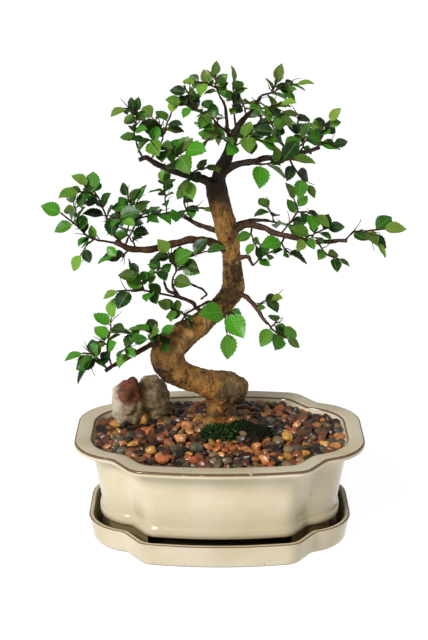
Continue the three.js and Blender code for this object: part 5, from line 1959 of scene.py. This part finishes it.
class BONSAI_OT_foliage(BonsaiOperator, bpy.types.Operator):
    """Make the leafy sprays with their toothed leaves"""

    bl_idname = "bonsai.foliage"
    bl_label = "Foliage"

    def execute(self, context):
        finish = leaf_finish(context.scene.bonsai_tree)
        wood_beads = np.concatenate([
            beads_of([np.array(point, float) for point in route], radii)
            for route, radii in LIMBS.values()
        ])
        sprays = [
            (name, spray[0], stems_of(spray, wood_beads)) for name, spray in SPRAYS.items()
        ]
        leaves = grown_leaves(sprays, wood_beads)
        tint_leaves(leaves)
        for name, _, stems in sprays:
            own = [leaf for leaf in leaves if leaf.spray == name]
            finish_piece(foliage_piece(name, stems, own), "spray_" + name, finish)
        return {"FINISHED"}


class BONSAI_OT_stage(BonsaiOperator, bpy.types.Operator):
    """Make the floor, the lights, the surroundings and the camera"""

    bl_idname = "bonsai.stage"
    bl_label = "Stage"

    def execute(self, context):
        settings = context.scene.bonsai_stage
        deselect()
        bpy.ops.mesh.primitive_plane_add(size=settings.floor_size)
        floor = bpy.context.object
        floor.name = "floor"
        floor.data.materials.append(Finish(
            "white_floor", base_color=(FLOOR_GREY, FLOOR_GREY, FLOOR_GREY, 1), roughness=1.0,
            emission_color=(1, 1, 1, 1), emission_strength=settings.glow,
        ).material)
        add_sun("key_sun", *KEY_SUN, settings.key)
        add_sun("fill_sun", *FILL_SUN, settings.fill)
        world = bpy.data.worlds.new("white_surround")
        world.use_nodes = True
        surround = world.node_tree.nodes["Background"]
        surround.inputs["Color"].default_value = (1, 1, 1, 1)
        surround.inputs["Strength"].default_value = settings.surround
        context.scene.world = world
        context.scene.view_settings.view_transform = "Standard"
        deselect()
        bpy.ops.object.camera_add(
            location=CAMERA_PLACE, rotation=(math.radians(CAMERA_PITCH), 0, 0),
        )
        camera = bpy.context.object
        camera.name = "camera"
        camera.data.lens = CAMERA_LENS
        camera.data.sensor_width = SENSOR_WIDTH
        context.scene.camera = camera
        return {"FINISHED"}


def add_sun(name, turn, spread, strength):
    deselect()
    bpy.ops.object.light_add(type="SUN", rotation=[math.radians(angle) for angle in turn])
    sun = bpy.context.object
    sun.name = name
    sun.data.energy = strength
    sun.data.angle = math.radians(spread)


OPERATORS = (
    BONSAI_OT_stage, BONSAI_OT_tray, BONSAI_OT_pot, BONSAI_OT_buried, BONSAI_OT_gravel,
    BONSAI_OT_moss, BONSAI_OT_rock, BONSAI_OT_trunk, BONSAI_OT_branches, BONSAI_OT_foliage,
)


class BONSAI_PT_panel(bpy.types.Panel):
    """Lists the operators and the settings"""

    bl_idname = "BONSAI_PT_panel"
    bl_label = "Chinese elm bonsai"
    bl_space_type = "VIEW_3D"
    bl_region_type = "UI"
    bl_category = "Bonsai"

    def draw(self, context):
        for operator in OPERATORS:
            self.layout.operator(operator.bl_idname)
        for name, group in SETTINGS.items():
            box = self.layout.box()
            for setting in group.__annotations__:
                box.prop(getattr(context.scene, name), setting)


SETTINGS = {
    "bonsai_pot": PotSettings,
    "bonsai_gravel": GravelSettings,
    "bonsai_moss": MossSettings,
    "bonsai_tree": TreeSettings,
    "bonsai_stage": StageSettings,
}
CLASSES = (*SETTINGS.values(), *OPERATORS, BONSAI_PT_panel)


def register():
    for one in CLASSES:
        bpy.utils.register_class(one)
    for name, group in SETTINGS.items():
        setattr(bpy.types.Scene, name, bpy.props.PointerProperty(type=group))


def unregister():
    for name in SETTINGS:
        delattr(bpy.types.Scene, name)
    for one in reversed(CLASSES):
        bpy.utils.unregister_class(one)


def main():
    register()
    bpy.ops.bonsai.stage()
    bpy.ops.bonsai.tray()
    bpy.ops.bonsai.pot()
    bpy.ops.bonsai.buried()
    bpy.ops.bonsai.gravel()
    bpy.ops.bonsai.moss()
    bpy.ops.bonsai.rock()
    bpy.ops.bonsai.trunk()
    bpy.ops.bonsai.branches()
    bpy.ops.bonsai.foliage()


if __name__ == "__main__":
    main()
